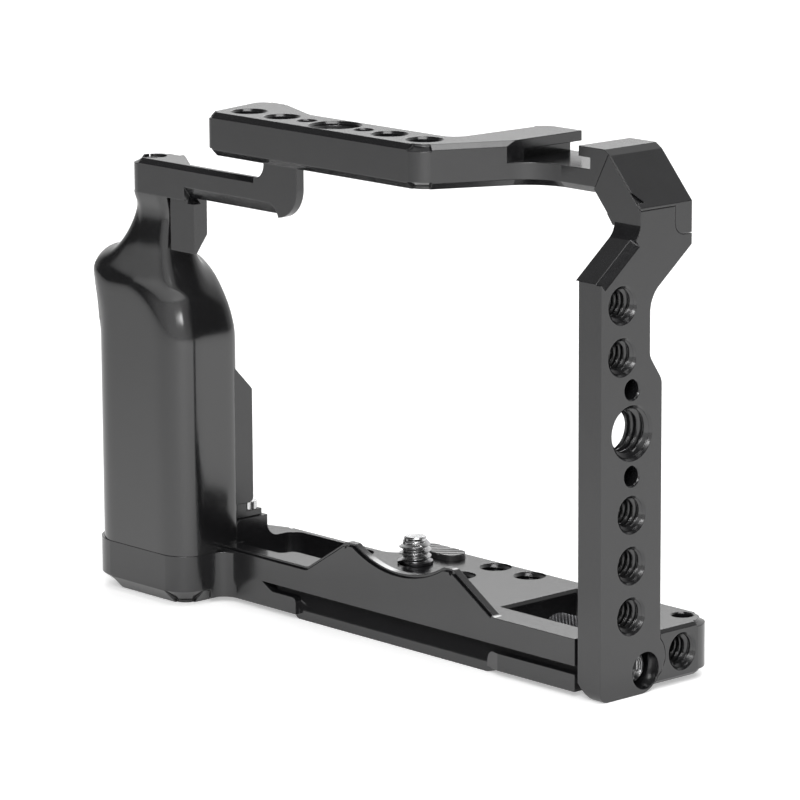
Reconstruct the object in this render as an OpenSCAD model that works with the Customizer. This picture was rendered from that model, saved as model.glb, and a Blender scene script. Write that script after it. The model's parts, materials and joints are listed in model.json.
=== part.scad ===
/* [Overall] */
// Width from the grip's outer side to the outer face of the side arm
cage_w = 136; // [130:0.5:150]
// Depth from the front of the top bar to the back of the base
cage_d = 42; // [40:0.5:50]
// Height from the underside to the top of the top bar
cage_h = 100; // [98:0.1:115]
// How far the top bar stands forward of the base's front lip
bar_reach = 11.5; // [9:0.5:13]

/* [Base] */
// Height of the base plate's top above the underside
base_t = 11.1; // [10.6:0.1:12]
// Distance from the arm's outer face to the lens axis
lens_in = 54.7; // [52:0.1:58]
// Height of the front lip above the base plate
lip_h = 7; // [5:0.1:8]
// Thickness of the front lip
lip_t = 2; // [1.6:0.1:2.6]
// Radius of the lip's hollow under the lens mount
lens_r = 25; // [22:0.5:30]
// Distance from the arm's outer face to the camera screw
screw_in = 69; // [67:0.1:71]
// Distance from the base's front to the camera screw
screw_back = 17.8; // [17:0.1:20]

/* [Side arm] */
// Thickness of the side arm
arm_t = 6.6; // [6:0.1:8]
// Depth of the lower part of the side arm
arm_d = 15.5; // [15:0.1:17]
// Depth of the arm beside the two upper holes
arm_neck_d = 12.4; // [12:0.1:14]
// How far the arm's head stands behind its foot
arm_step = 9.8; // [8:0.1:11]

/* [Top plate] */
// Thickness of the top plate
plate_t = 8.4; // [7.6:0.1:9]
// Depth of the front bar of the top plate
bar_d = 12; // [11:0.1:14]
// Thickness of the hook that hangs under the bar
hook_t = 1.8; // [1.6:0.1:2.4]
// Height of the hook's arm
hook_h = 6.8; // [6:0.1:7.6]

/* [Grip] */
// Width of the hand grip
grip_w = 30.5; // [28:0.5:33]
// Depth of the hand grip
grip_d = 14; // [13:0.5:15]
// Height of the grip's flat top above the underside
grip_top = 69; // [66:0.5:74]

/* [Threads and screws] */
// Diameter of a quarter inch thread
quarter_d = 6.35; // [6.35:0.01:6.4]
// Diameter of a three eighths inch thread
three_eighths_d = 9.525; // [9.5:0.005:9.6]
// Pitch of the holes in a row
hole_pitch = 9.525; // [9.5:0.005:10]
// Diameter of the locating holes beside the large thread
locate_d = 3.6; // [3:0.1:4]
// Travel of the captive camera screw
screw_travel = 2.6; // [2:0.1:3]
// Travel of the stored driver out of its channel
driver_travel = 9; // [8:0.5:12]

/* [Hidden] */
$fn = 64;

// Overrun of every cut past the face it opens
over = 0.5;
// Clearance between bolted faces, and around fasteners and dowels
seat = 0.05;
loose = 0.15;
// Seam that shows round the arm's head and key
split = 0.15;
// Excess radius that lets a round corner cross its straight edges cleanly
nib = 0.01;
// How far straight bevels run on into a corner, and where a hollow corner's own bevel starts,
// as shares of that crossing
lap_share = 1.6;
start_share = 1.3;

// Edges of the whole cage
x_right = cage_w / 2;
x_left = -cage_w / 2;
y_front = -cage_d / 2;
y_rear = cage_d / 2;
lip_y = y_front + bar_reach;
plate_z = cage_h - plate_t;

// Colours of the finishes
black_alloy = "#3b3b3e";
gloss_black = "#1c1c1e";
bright_steel = "#c9cacc";
dark_steel = "#4a4b4e";
brass = "#b08d4a";
dark_rubber = "#2d2d2f";

// Outlines with rounded corners

function turn_of(a, p, b) = (p.x - a.x) * (b.y - p.y) - (p.y - a.y) * (b.x - p.x);
function unit(v) = v / norm(v);
function prev_of(pts, i) = pts[(i + len(pts) - 1) % len(pts)];
function next_of(pts, i) = pts[(i + 1) % len(pts)];
function half_angle(a, p, b) = acos(unit(a - p) * unit(b - p)) / 2;
function tangent_len(a, p, b, r) = r / tan(half_angle(a, p, b));
// Distance past the tangent point at which the eased corner of radius r leaves the straight edge
function cross_len(r) = sqrt(2 * r * nib);
function corner_centre(a, p, b, r) =
    p + unit(unit(a - p) + unit(b - p)) * r / sin(half_angle(a, p, b));

// The bit between a corner and the arc that rounds it, cut off where the corner stands out
// and filled in where it turns inward
module corner_bit(a, p, b, r) {
    t = tangent_len(a, p, b, r);
    ta = p + unit(a - p) * t;
    tb = p + unit(b - p) * t;
    c = corner_centre(a, p, b, r);
    grow = 1 + over / r;
    difference() {
        polygon([c, c + (ta - c) * grow, c + (p - c) * grow, c + (tb - c) * grow]);
        translate(c) circle(r = r + nib);
    }
}

// A closed outline, anticlockwise, with one radius for each corner
module outline(pts, radii) {
    difference() {
        polygon(pts);
        for (i = [0:len(pts) - 1])
            if (radii[i] > 0 && turn_of(prev_of(pts, i), pts[i], next_of(pts, i)) > 0)
                corner_bit(prev_of(pts, i), pts[i], next_of(pts, i), radii[i]);
    }
    for (i = [0:len(pts) - 1])
        if (radii[i] > 0 && turn_of(prev_of(pts, i), pts[i], next_of(pts, i)) < 0)
            corner_bit(prev_of(pts, i), pts[i], next_of(pts, i), radii[i]);
}

// The cut that bevels the upper edge, at height z, of an extruded outline
module bevel(pts, radii, c, z, edges) {
    e = over;
    translate([0, 0, z]) for (i = edges) {
        p = pts[i];
        q = next_of(pts, i);
        d = unit(q - p);
        t0 = radii[i] > 0 ? tangent_len(prev_of(pts, i), p, q, radii[i]) : 0;
        j = (i + 1) % len(pts);
        t1 = radii[j] > 0 ? tangent_len(p, q, next_of(pts, j), radii[j]) : 0;
        lap0 = radii[i] > 0 ? lap_share * cross_len(radii[i]) : seat;
        lap1 = radii[j] > 0 ? lap_share * cross_len(radii[j]) : seat;
        translate(p + d * (t0 - lap0)) rotate([0, 0, atan2(d.y, d.x)]) rotate([90, 0, 90])
            linear_extrude(norm(q - p) - t0 - t1 + lap0 + lap1)
                polygon([[-e, -c - e], [c + e, e], [-e, e]]);
        if (radii[j] > 0) bevel_corner(p, q, next_of(pts, j), radii[j], c);
    }
}

// The same bevel round one rounded corner
module bevel_corner(a, p, b, r, c) {
    e = over;
    out = turn_of(a, p, b) > 0;
    centre = corner_centre(a, p, b, r);
    va = p + unit(a - p) * tangent_len(a, p, b, r) - centre;
    vb = p + unit(b - p) * tangent_len(a, p, b, r) - centre;
    // A hollow corner's cut starts inside the straight cuts, so that no thin step is left
    late = out ? 0 : start_share * cross_len(r) / r * 180 / PI;
    start = late + (out ? atan2(va.y, va.x) : atan2(vb.y, vb.x));
    sweep = 180 - 2 * half_angle(a, p, b) - 2 * late;
    rim = r + nib;
    inner = max(rim - c - e, 0);
    near = max(rim - e, 0);
    translate(centre) rotate([0, 0, start]) rotate_extrude(angle = sweep)
        if (out) polygon([[rim + e, -c - e], [inner, inner - rim + c], [inner, e], [rim + e, e]]);
        else polygon([[near, near - rim - c], [rim + c + e, e], [near, e]]);
}

// A prism of an outline drawn in x and z, standing between two depths
module along_y(y0, y1) {
    translate([0, y1, 0]) rotate([90, 0, 0]) linear_extrude(y1 - y0) children();
}

// A prism of an outline drawn in y and z, standing between two places in x
module along_x(x0, x1) {
    translate([x0, 0, 0]) rotate([90, 0, 90]) linear_extrude(x1 - x0) children();
}

// A plain bar between two corners
module bar(lo, hi) {
    translate(lo) cube(hi - lo);
}

// A round bore from z0 up to z1 with a bevelled mouth at z1
module tapped_bore(d, z0, z1, mouth) {
    translate([0, 0, z0]) cylinder(d = d, h = z1 - z0 + over);
    translate([0, 0, z1 - mouth]) cylinder(d1 = d, d2 = d + 2 * (mouth + over), h = mouth + over);
}

// The row of a large thread, its locating holes and its neighbours, as offsets from the large thread
row_gap = 15.16;
locate_gap = 8;
mouth_c = 0.45;
small_mouth_c = 0.25;

// Base plate

// Places along the base
lens_x = x_right - lens_in;
screw_x = x_right - screw_in;
screw_y = lip_y + screw_back;
block_x = x_left + grip_w;
// Rear edge of the base on the grip side, and where it steps back
rear_in = 10.2;
step_x = x_right - 74;
step_run = 4.5;
// Grip block
block_r = 5.5;
block_wide_r = 8.5;
block_c = 2.8;
// Height of the base plate's own underside above the feet
base_z0 = 1.05;
block_front = lip_y - 11;
block_rear = lip_y + 17;
seam_z = base_t - 1;
grip_rear = block_front + grip_d;
// Front wall and its hollow
lip_z = base_t + lip_h;
hollow_half = 12.6;
peak_half = 15;
foot_half = 26.3;
peak_r = 2;
foot_r = 2.5;
lip_c = 0.5;
// Groove and rail below the lip
groove_z = 6.0;
rail_z = 1.95;
foot_z = 4.4;
groove_deep = 2.2;
rail_in = 1;
rail_left = lens_x - 29.5;
rail_right = lens_x + 23.8;
rail_run = 3.8;
rail_r = 1.1;
foot_round = 2.4;
groove_left = lens_x - 39.5;
groove_run = 3;
// Edges of the base
base_c = 0.6;
end_r = 5.3;
// Battery opening on the grip side
door_right = lens_x - 25.3;
door_step_x = lens_x - 38;
door_front = lip_y + 3.8;
door_ledge = 3.1;
door_wall = 1.7;
door_r = 3;
// Window near the arm
window_x = x_right - 32.6;
window_w = 21.6;
window_front = lip_y + 6.3;
window_rear = y_rear - 4;
window_r = 0.8;
// Tapped holes
tap_x = lens_x - 1.2;
tap_y = y_rear - 3.6;
end_tap_y = lip_y + 21.4;
end_tap_z = 6.2;
end_tap_len = 9;
pin_hole_d = 4;
pin_hole_x = x_right - 5.4;
pin_hole_y = y_rear - 3.6;
// Raised foot of the rear post
foot_w = 11.5;
foot_y = lip_y + 3.2;
foot_d = 8.1;
foot_h = 4.57;
foot_edge_r = 1.2;
foot_swell = 2.8;
// Key between the arm and the base
key_r = 4.6;
key_y = lip_y + 12.2;
key_z = 6.4;
// Arm's lower screw
low_y = lip_y + 11.7;
low_z = 4.3;
low_shank = 4;
low_head_d = 6;
low_head_h = 2;
low_bore_d = 7;
low_bore_deep = 5.2;
low_len = 7;
low_end = x_right - low_bore_deep + low_head_h - low_len;
dowel_d = 3;
dowel_len = 8;
dowel_y = lip_y + 4.6;
dowel_z = 6.3;
// Captive camera screw
head_d = 13;
head_h = 2.6;
well_d = 14;
well_deep = 6.7;
thread_up = 5.5;
relief_d = 4.9;
clip_d = 7;
clip_t = 0.5;
// Tiny lift that keeps the moving pieces off their stops
lift = 0.1;
washer_d = 12;
washer_t = 0.5;

base_pts = [[x_left + block_r, lip_y + lip_t / 2], [x_right, lip_y + lip_t / 2], [x_right, y_rear],
            [step_x, y_rear], [step_x - step_run, y_rear - rear_in], [block_x - 2 * foot_edge_r, y_rear - rear_in],
            [block_x - foot_w, block_rear], [x_left + block_r, block_rear]];
base_radii = [0, 0, end_r, 2 * peak_r, 2 * peak_r, 2 * peak_r, 2 * peak_r, 0];

front_pts = [[block_x - block_r, groove_z - over], [x_right, groove_z - over], [x_right, base_t],
             [lens_x + foot_half, base_t], [lens_x + peak_half, lip_z], [lens_x + hollow_half, lip_z],
             [lens_x, base_t], [lens_x - hollow_half, lip_z], [lens_x - peak_half, lip_z],
             [lens_x - foot_half, base_t], [block_x - block_r, base_t]];
front_radii = [0, 0, 0, foot_r, peak_r, 0, lens_r, 0, peak_r, foot_r, 0];

block_pts = [[x_left, block_front], [block_x, block_front], [block_x, block_rear], [x_left, block_rear]];
block_radii = [block_wide_r, block_r, block_r, block_r];

// The block under the grip, with its bottom edge bevelled all round
module grip_block() difference() {
    linear_extrude(base_t) outline(block_pts, block_radii);
    mirror([0, 0, 1]) bevel(block_pts, block_radii, block_c, 0, [0, 1, 2, 3]);
}

// The groove below the lip and the set-back of the rail, cut through the base's front
module rail_cuts() {
    e = over;
    along_y(lip_y - e, lip_y + groove_deep) difference() {
        polygon([[groove_left, groove_z], [groove_left, -e], [x_right + e, -e], [x_right + e, groove_z]]);
        outline([[groove_left - e, -2 * e], [rail_left, -2 * e], [rail_left, foot_z],
                 [groove_left + groove_run, foot_z], [groove_left, groove_z], [groove_left - e, groove_z]],
                [0, 0, rail_r, foot_round, 0, 0]);
        outline([[rail_right, -2 * e], [x_right + 2 * e, -2 * e], [x_right + 2 * e, foot_z], [rail_right, foot_z]],
                [0, 0, 0, foot_round]);
    }
    // The right foot's end leans back to the rail
    translate([0, 0, -e]) linear_extrude(foot_z + 2 * e)
        polygon([[rail_right - e, lip_y - e], [rail_right + rail_run, lip_y - e], [rail_right + rail_run, lip_y],
                 [rail_right, lip_y + rail_in], [rail_right - e, lip_y + rail_in]]);
}

// The rail between the feet
module rail() {
    along_y(lip_y + rail_in, lip_y + groove_deep + lip_t)
        outline([[rail_left - rail_r, 0], [rail_right, 0], [rail_right + rail_run, base_z0],
                 [rail_right + rail_run, rail_z], [rail_left - rail_r, rail_z]],
                [rail_r, 0, 0, 0, 0]);
}

// The opening for the battery door, with the wider ledge beside the lens
module door_cut() {
    translate([0, 0, -over]) linear_extrude(base_t + 2 * over)
        outline([[block_x, door_front], [door_step_x, door_front], [door_step_x, door_front + door_ledge],
                 [door_right, door_front + door_ledge], [door_right, y_rear - rear_in - door_wall],
                 [block_x, y_rear - rear_in - door_wall]],
                [door_r / 2, door_r / 2, door_r / 2, door_r, door_r, door_r]);
}

// The window near the arm, with a bevelled rim
module window_cut() {
    pts = [[window_x, window_front], [window_x + window_w, window_front], [window_x + window_w, window_rear],
           [window_x, window_rear]];
    translate([0, 0, -over]) linear_extrude(base_t + 2 * over)
        outline(pts, [window_r, window_r, window_r, window_r]);
    along_y(window_front, window_rear)
        polygon([[window_x - base_c - over, base_t + over], [window_x + over, base_t - base_c - over],
                 [window_x + over, base_t + over]]);
}

module camera_screw_well() {
    translate([screw_x, screw_y, 0]) {
        translate([0, 0, -over]) cylinder(d = well_d, h = well_deep + over);
        cylinder(d = quarter_d + loose, h = base_t + over);
    }
}

module base_plate() color(black_alloy) difference() {
    union() {
        difference() {
            union() {
                difference() {
                    translate([0, 0, base_z0]) linear_extrude(base_t - base_z0) outline(base_pts, base_radii);
                    bevel(base_pts, base_radii, base_c, base_t, [1, 2, 3, 4, 5]);
                    translate([0, 0, base_z0]) mirror([0, 0, 1])
                        bevel(base_pts, base_radii, base_c, 0, [1, 2, 3, 4, 5]);
                }
                along_y(lip_y, lip_y + lip_t) outline(front_pts, front_radii);
                bar([block_x - block_r, lip_y, base_z0], [x_right, lip_y + lip_t, groove_z]);
                grip_block();
            }
            // Room for the grip
            translate([x_left - over, y_front - over, seam_z])
                cube([grip_w + over, grip_rear + seat - y_front + over, cage_h]);
            rail_cuts();
        }
        rail();
        block_fillet();
        raised_foot();
    }
    translate([0, lip_y, 0]) mirror([0, 1, 0]) rotate([90, 0, 0])
        bevel(front_pts, front_radii, lip_c, 0, [3, 4, 5, 6, 7, 8, 9]);
    door_cut();
    window_cut();
    arm_seat();
    camera_screw_well();
    pad_recess();
    driver_channel();
    for (p = [[tap_x, tap_y], [tap_x + hole_pitch, tap_y], [tap_x, tap_y - hole_pitch]])
        translate([p.x, p.y, -over]) cylinder(d = quarter_d, h = base_t + 2 * over);
    translate([x_right, end_tap_y, end_tap_z]) rotate([0, 90, 0])
        tapped_bore(quarter_d, -end_tap_len, 0, mouth_c);
    translate([pin_hole_x, pin_hole_y, 0]) tapped_bore(pin_hole_d, -over, base_t, small_mouth_c);
    grip_fixings();
    translate([post_x, post_screw_y, base_t]) cylinder(d = post_screw_d + seat, h = foot_h + over);
}

// The hollow corner between the grip block and the front lip
module block_fillet() {
    r = base_c * 6;
    translate([block_x, lip_y, base_z0]) linear_extrude(seam_z - base_z0) difference() {
        translate([-over, -r]) square([r + over, r + over]);
        translate([r, -r]) circle(r = r);
    }
}

// The foot that carries the rear post, with a hollow curve down to the base behind it
module raised_foot() {
    top = base_t + foot_h;
    run = foot_y + foot_d;
    along_x(block_x - foot_w, block_x)
        outline([[foot_y, base_t - over], [run + 2 * foot_swell, base_t - over], [run + 2 * foot_swell, base_t],
                 [run, base_t], [run, top], [foot_y, top]],
                [0, 0, 0, foot_swell, 0, foot_edge_r]);
}

// The notch in the base's end that takes the arm and its round key
module arm_seat() {
    along_x(x_right - arm_t - seat, x_right + over)
        outline([[lip_y - over, -split], [lip_y + arm_d + split, -split], [lip_y + arm_d + split, lip_z],
                 [lip_y - over, lip_z]], [0, arm_foot_r + split, 0, 0]);
    translate([x_right - arm_t - seat, key_y, key_z]) rotate([0, 90, 0])
        cylinder(r = key_r + split, h = arm_t + over + seat);
    translate([low_end - loose, low_y, low_z]) rotate([0, 90, 0])
        cylinder(d = low_shank + seat, h = low_len + over);
    translate([x_right - arm_t - dowel_len / 2, dowel_y, dowel_z]) rotate([0, 90, 0])
        cylinder(d = dowel_d + seat, h = dowel_len);
}

// Rubber pad behind the camera screw

pad_d = 5.3;
pad_len = 12;
pad_x = screw_x - 1.6;
pad_y = screw_y + 8.1;
pad_up = 1.1;
pad_deep = 1;
pad_rib = 0.3;
pad_pitch = 1.05;
pad_turn = 42;

// The pad's outline, a slot shape, grown by a clearance
module pad_outline(gap) {
    w = pad_len - pad_d;
    square([w, pad_d + gap], center = true);
    for (k = [-1, 1]) translate([k * w / 2, 0]) circle(d = pad_d + gap);
}

module pad_recess() {
    translate([pad_x, pad_y, base_t - pad_deep]) linear_extrude(pad_deep + over) pad_outline(seat);
}

module rubber_pad() color(dark_rubber) translate([pad_x, pad_y, base_t - pad_deep + seat / 2])
    difference() {
        linear_extrude(pad_deep + pad_up) pad_outline(0);
        for (i = [-5:5]) rotate([0, 0, pad_turn])
            translate([-pad_len, i * pad_pitch - pad_rib / 2, pad_deep + pad_up - pad_rib])
                cube([2 * pad_len, pad_rib, pad_rib + over]);
    }

// Side arm

// Heights along the arm
arm_z0 = 0;
bend_z = cage_h - 22.4;
bend_top = cage_h - 14.5;
neck_z0 = cage_h - 41.7;
neck_z1 = cage_h - 37.1;
lean_z0 = cage_h - 26.1;
lean_z1 = cage_h - 17.7;
head_rear = lip_y + 23;
tongue_y = lip_y + 18.6;
tongue_z = cage_h - 15.5;
tongue_r = 2.2;
// Head of the arm, leaning inward to the top plate
knee_z = cage_h - 10.3;
ridge_x = x_right - 8.3;
ridge_z = cage_h - 0.9;
end_x = x_right - 11.9;
inner_knee_z = cage_h - 13.7;
// Rows of holes
row_y = lip_y + 7.9;
upper_row_y = lip_y + 5.3;
row_z = 49.4;
upper_gap = 14.3;
arm_bend_r = 4;
arm_lean_r = 6;
arm_neck_r = 3;
arm_foot_r = 5;
arm_toe_r = 2;
arm_edge_c = 0.8;
arm_slant_c = 1.5;
toe_c = 3.8;

arm_pts = [[lip_y, arm_z0], [lip_y + arm_d, arm_z0], [lip_y + arm_d, neck_z0], [lip_y + arm_neck_d, neck_z1],
           [lip_y + arm_neck_d, lean_z0], [head_rear, lean_z1], [head_rear, tongue_z - split],
           [tongue_y, tongue_z - split], [tongue_y, knee_z - 2 * over], [lip_y + arm_step, knee_z - 2 * over],
           [lip_y + arm_step, bend_top], [lip_y, bend_z]];
arm_radii = [arm_toe_r, arm_foot_r, arm_neck_r, arm_neck_r, arm_lean_r, 0, 0, tongue_r + split, 0, 0, arm_bend_r, 0];

// The arm's head seen from the front, grown by a clearance where it is cut from the top plate
module head_outline(gap) {
    polygon([[x_right + gap, knee_z - arm_t], [x_right + gap, knee_z], [ridge_x - gap / 2, ridge_z + gap],
             [end_x - gap, plate_z + arm_edge_c - gap], [x_right - arm_t - gap, inner_knee_z],
             [x_right - arm_t - gap, knee_z - arm_t]]);
}

module arm_row_bores() {
    for (h = [[quarter_d, row_gap, -1], [quarter_d, row_gap + hole_pitch, -1],
              [quarter_d, row_gap + 2 * hole_pitch, -1], [three_eighths_d, 0, -1]])
        translate([x_right, row_y, row_z + h[2] * h[1]]) rotate([0, 90, 0])
            tapped_bore(h[0], -arm_t - over, 0, mouth_c);
    for (s = [-1, 1]) translate([x_right, row_y, row_z + s * locate_gap]) rotate([0, 90, 0])
        tapped_bore(locate_d, -arm_t + base_c, 0, small_mouth_c);
    for (g = [upper_gap, upper_gap + hole_pitch]) translate([x_right, upper_row_y, row_z + g])
        rotate([0, 90, 0]) tapped_bore(quarter_d, -arm_t - over, 0, mouth_c);
}

module side_arm() color(black_alloy) difference() {
    union() {
        along_x(x_right - arm_t, x_right) outline(arm_pts, arm_radii);
        along_y(lip_y + arm_step, tongue_y) head_outline(0);
        translate([x_right - arm_t, key_y, key_z]) rotate([0, 90, 0]) cylinder(r = key_r, h = arm_t);
    }
    // Bevels on the inner front edge, the leaning outer edge and the toe
    along_z_bevel([x_right - arm_t, lip_y], arm_z0, bend_z, arm_edge_c);
    translate([x_right, 0, 0]) rotate([90, 0, 90]) bevel(arm_pts, arm_radii, arm_slant_c, 0, [10]);
    along_y(lip_y - over, lip_y + arm_d / 2)
        polygon([[x_right - arm_t - over, toe_c + over], [x_right - arm_t + toe_c + over, -over],
                 [x_right - arm_t - over, -over]]);
    translate([x_right - low_bore_deep, low_y, low_z]) rotate([0, 90, 0])
        cylinder(d = low_bore_d, h = low_bore_deep + over);
    translate([x_right - arm_t - over, low_y, low_z]) rotate([0, 90, 0])
        cylinder(d = low_shank + loose, h = arm_t + over);
    translate([x_right - arm_t - over, dowel_y, dowel_z]) rotate([0, 90, 0])
        cylinder(d = dowel_d + seat, h = dowel_len / 2 + over + seat);
    arm_row_bores();
    upper_screw_bores();
}

// A bevel down a front left edge at a place in x and y
module along_z_bevel(p, z0, z1, c) {
    translate([0, 0, z0 - over]) linear_extrude(z1 - z0 + over)
        polygon([[p.x - over, p.y - over], [p.x + c + over, p.y - over], [p.x - over, p.y + c + over]]);
}

// Top plate

bar_left = lens_x - 40.8;
bar_right = lens_x + 18.7;
end_lean = 4.2;
flank_lean = 10.4;
bar_rear = y_front + bar_d;
lobe_rear = bar_rear + 5.5;
lobe_w = 8;
lobe_run = 9;
shoe_left = x_right - 38.4;
corner_front = lip_y + arm_step;
bar_c = 1;
bar_low_c = 1.3;
back_c = 0.5;
bar_r = 4.5;
flank_r = 9;
bar_hole_x = lens_x - 10.7;
bar_hole_y = y_front + 6.2;
// Cold shoe, to the usual size of such a slot
shoe_slot_w = 18.6;
shoe_mouth_w = 12.6;
shoe_x = x_right - 22.2;
shoe_deep = 4;
shoe_lip = 1.9;
shoe_in = 8;
// Hook below the bar
hook_z = cage_h - 18.35;
hook_y = y_front + 1.2;
hook_right = x_left + 65.2;
hook_slot_x = x_left + 55.7;
hook_r = 6;
slot_r = 3;
lobe_x = x_left + 18.3;
lobe_r = 3.8;
lobe_d = 8.6;
hook_c = 0.9;
relief_c = 2.7;
relief_in = 2.1;
relief_r = 4;
relief_left = block_x + 1.5;
relief_right = x_left + 60;
top_screw_d = 3;
top_screw_head_d = 5.2;
top_screw_head_h = 1.8;
// Tab that keeps the grip from turning
tab_x = x_left + 26.8;
tab_w = 7.1;
tab_y = hook_y + 0.9;
tab_d = 3.3;
tab_h = 10.4;
tab_c = 3;

plate_pts = [[bar_left, y_front], [bar_right, y_front], [bar_right + flank_lean, corner_front],
             [x_right, corner_front], [x_right, head_rear], [shoe_left, head_rear], [shoe_left - base_c, bar_rear],
             [bar_left + lobe_w + lobe_run, bar_rear], [bar_left + lobe_w - end_lean, lobe_rear],
             [bar_left - end_lean, lobe_rear]];
plate_radii = [2, bar_r, flank_r, 0, 0, 3, 3, 6, 3, 3];

// The plate's right shoulder seen from the front, which the arm's head meets
module shoulder_outline() {
    polygon([[bar_left - cage_d, cage_h], [bar_left - cage_d, plate_z], [end_x + arm_edge_c, plate_z],
             [x_right - arm_t, inner_knee_z - over], [x_right - arm_t, tongue_z], [x_right, tongue_z],
             [x_right, knee_z + base_c], [ridge_x + base_c, cage_h - bar_c], [ridge_x - bar_c, cage_h]]);
}

// The tongue's round lower corner beside the arm
module tongue_corner() {
    along_x(x_right - arm_t - over, x_right + over)
        corner_bit([tongue_y + split, cage_h], [tongue_y + split, tongue_z], [head_rear, tongue_z], tongue_r);
}

module shoe_cut() {
    w = shoe_slot_w / 2;
    m = shoe_mouth_w / 2;
    z0 = cage_h - shoe_deep;
    bar([shoe_x - m, y_front, z0], [shoe_x + m, head_rear + over, cage_h + over]);
    bar([shoe_x - w, lip_y + shoe_in, z0], [shoe_x + w, head_rear + over, cage_h - shoe_lip]);
}

module bar_bores() {
    for (s = [-1, 1], g = [row_gap, row_gap + hole_pitch])
        translate([bar_hole_x + s * g, bar_hole_y, 0])
            tapped_bore(quarter_d, plate_z - over, cage_h, mouth_c);
    translate([bar_hole_x, bar_hole_y, 0]) tapped_bore(three_eighths_d, plate_z - over, cage_h, mouth_c);
    for (s = [-1, 1]) translate([bar_hole_x + s * locate_gap, bar_hole_y, 0])
        tapped_bore(locate_d, cage_h - plate_t / 2, cage_h, small_mouth_c);
}

hook_pts = [[lobe_x, hook_z], [hook_right, hook_z], [hook_right, plate_z + over], [hook_slot_x, plate_z + over],
            [hook_slot_x, hook_z + hook_h], [lobe_x, hook_z + hook_h]];
hook_radii = [0, hook_r, 0, 0, slot_r, 0];
lobe_pts = [[lobe_x - lobe_r, hook_y], [relief_left, hook_y], [relief_left, hook_y + hook_t],
            [lobe_x + lobe_r, hook_y + lobe_d], [lobe_x - lobe_r, hook_y + lobe_d]];
lobe_radii = [lobe_r, 0, 0, slot_r, lobe_r];

module hook() difference() {
    union() {
        along_y(hook_y, hook_y + hook_t) outline(hook_pts, hook_radii);
        translate([0, 0, hook_z]) linear_extrude(hook_h) outline(lobe_pts, lobe_radii);
        tab();
    }
    bevel(lobe_pts, lobe_radii, hook_c, hook_z + hook_h, [3, 4]);
    // Front edge of the hook's arm, above and below
    along_x(lobe_x, hook_slot_x - slot_r)
        polygon([[hook_y - over, hook_z + hook_h + over], [hook_y - over, hook_z + hook_h - hook_c - over],
                 [hook_y + hook_c + over, hook_z + hook_h + over]]);
    intersection() {
        along_x(relief_left, relief_right)
            polygon([[hook_y - over, hook_z + relief_c + over * relief_c / relief_in],
                     [hook_y + relief_in + over, hook_z - over * relief_c / relief_in],
                     [hook_y - over, hook_z - over * relief_c / relief_in]]);
        along_y(hook_y - 2 * over, hook_y + relief_in + 2 * over)
            outline([[relief_left - over, hook_z - 2 * relief_r], [relief_right, hook_z - 2 * relief_r],
                     [relief_right, hook_z + relief_c], [relief_left - over, hook_z + relief_c + over * 2]],
                    [0, 0, relief_r, 0]);
    }
    translate([lobe_x, hook_y + lobe_r, hook_z - over]) cylinder(d = top_screw_d + loose, h = hook_h + 2 * over);
    translate([lobe_x, hook_y + lobe_r, hook_z + hook_h - top_screw_head_h - over])
        cylinder(d = top_screw_head_d + loose, h = top_screw_head_h + 2 * over);
}

module tab() {
    along_x(tab_x, tab_x + tab_w)
        polygon([[tab_y, hook_z + hook_h / 2], [tab_y, hook_z - tab_h], [tab_y + base_c, hook_z - tab_h],
                 [tab_y + tab_d, hook_z - tab_h + tab_c + base_c], [tab_y + tab_d, hook_z + hook_h / 2]]);
}

module top_plate() color(black_alloy) {
    difference() {
        union() {
            difference() {
                intersection() {
                    translate([0, 0, tongue_z - over]) linear_extrude(cage_h) outline(plate_pts, plate_radii);
                    along_y(y_front - over, head_rear + over) shoulder_outline();
                }
                bevel(plate_pts, plate_radii, bar_c, cage_h, [9, 0, 1]);
                bevel(plate_pts, plate_radii, back_c, cage_h, [5, 6, 7, 8]);
                translate([0, 0, plate_z]) mirror([0, 0, 1])
                    bevel(plate_pts, plate_radii, bar_low_c, 0, [8, 9, 0, 1, 2]);
            }
            hook();
        }
        // Room for the arm's head, and for its knee in front of the tongue
        along_y(corner_front - over, tongue_y + split) head_outline(split);
        bar([x_right - arm_t - over, corner_front - over, tongue_z - 2 * over],
            [x_right + over, tongue_y + split, knee_z]);
        tongue_corner();
        shoe_cut();
        bar_bores();
        upper_screw_bores();
    }
}

// Screws that hold the arm's head to the tongue, driven from behind

up_screw_d = 3;
up_head_d = 5;
up_head_h = 2.2;
up_len = 8.5;
up_places = [[x_right - arm_t / 2, tongue_z + 2.9], [x_right - 7.2, knee_z + 3.4]];

module upper_screw_bores() {
    for (p = up_places) translate([p.x, head_rear + over, p.y]) rotate([90, 0, 0]) {
        cylinder(d = up_screw_d + loose, h = up_len + over + loose);
        cylinder(d = up_head_d + loose, h = up_head_h + over + loose);
    }
}

module arm_upper_screws() color(dark_steel)
    for (p = up_places) translate([p.x, head_rear - loose, p.y]) rotate([90, 0, 0])
        cap_screw(up_screw_d, up_head_d, up_head_h, up_len);

// A screw with a cylinder head at z = 0 and a hexagon socket in it, pointing up the z axis
module cap_screw(d, head_d, head_h, length) difference() {
    union() {
        cylinder(d = head_d, h = head_h);
        cylinder(d = d, h = length);
    }
    translate([0, 0, -over]) cylinder(d = head_d / 2, h = head_h / 2 + over, $fn = 6);
}

module arm_lower_screw() color(bright_steel)
    translate([x_right - low_bore_deep + low_head_h, low_y, low_z]) rotate([0, -90, 0])
        cap_screw(low_shank, low_head_d, low_head_h, low_len);

module arm_dowel() color(bright_steel)
    translate([x_right - arm_t - dowel_len / 2 + seat, dowel_y, dowel_z]) rotate([0, 90, 0])
        cylinder(d = dowel_d, h = dowel_len - seat);

// Hand grip, lofted through level sections

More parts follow.
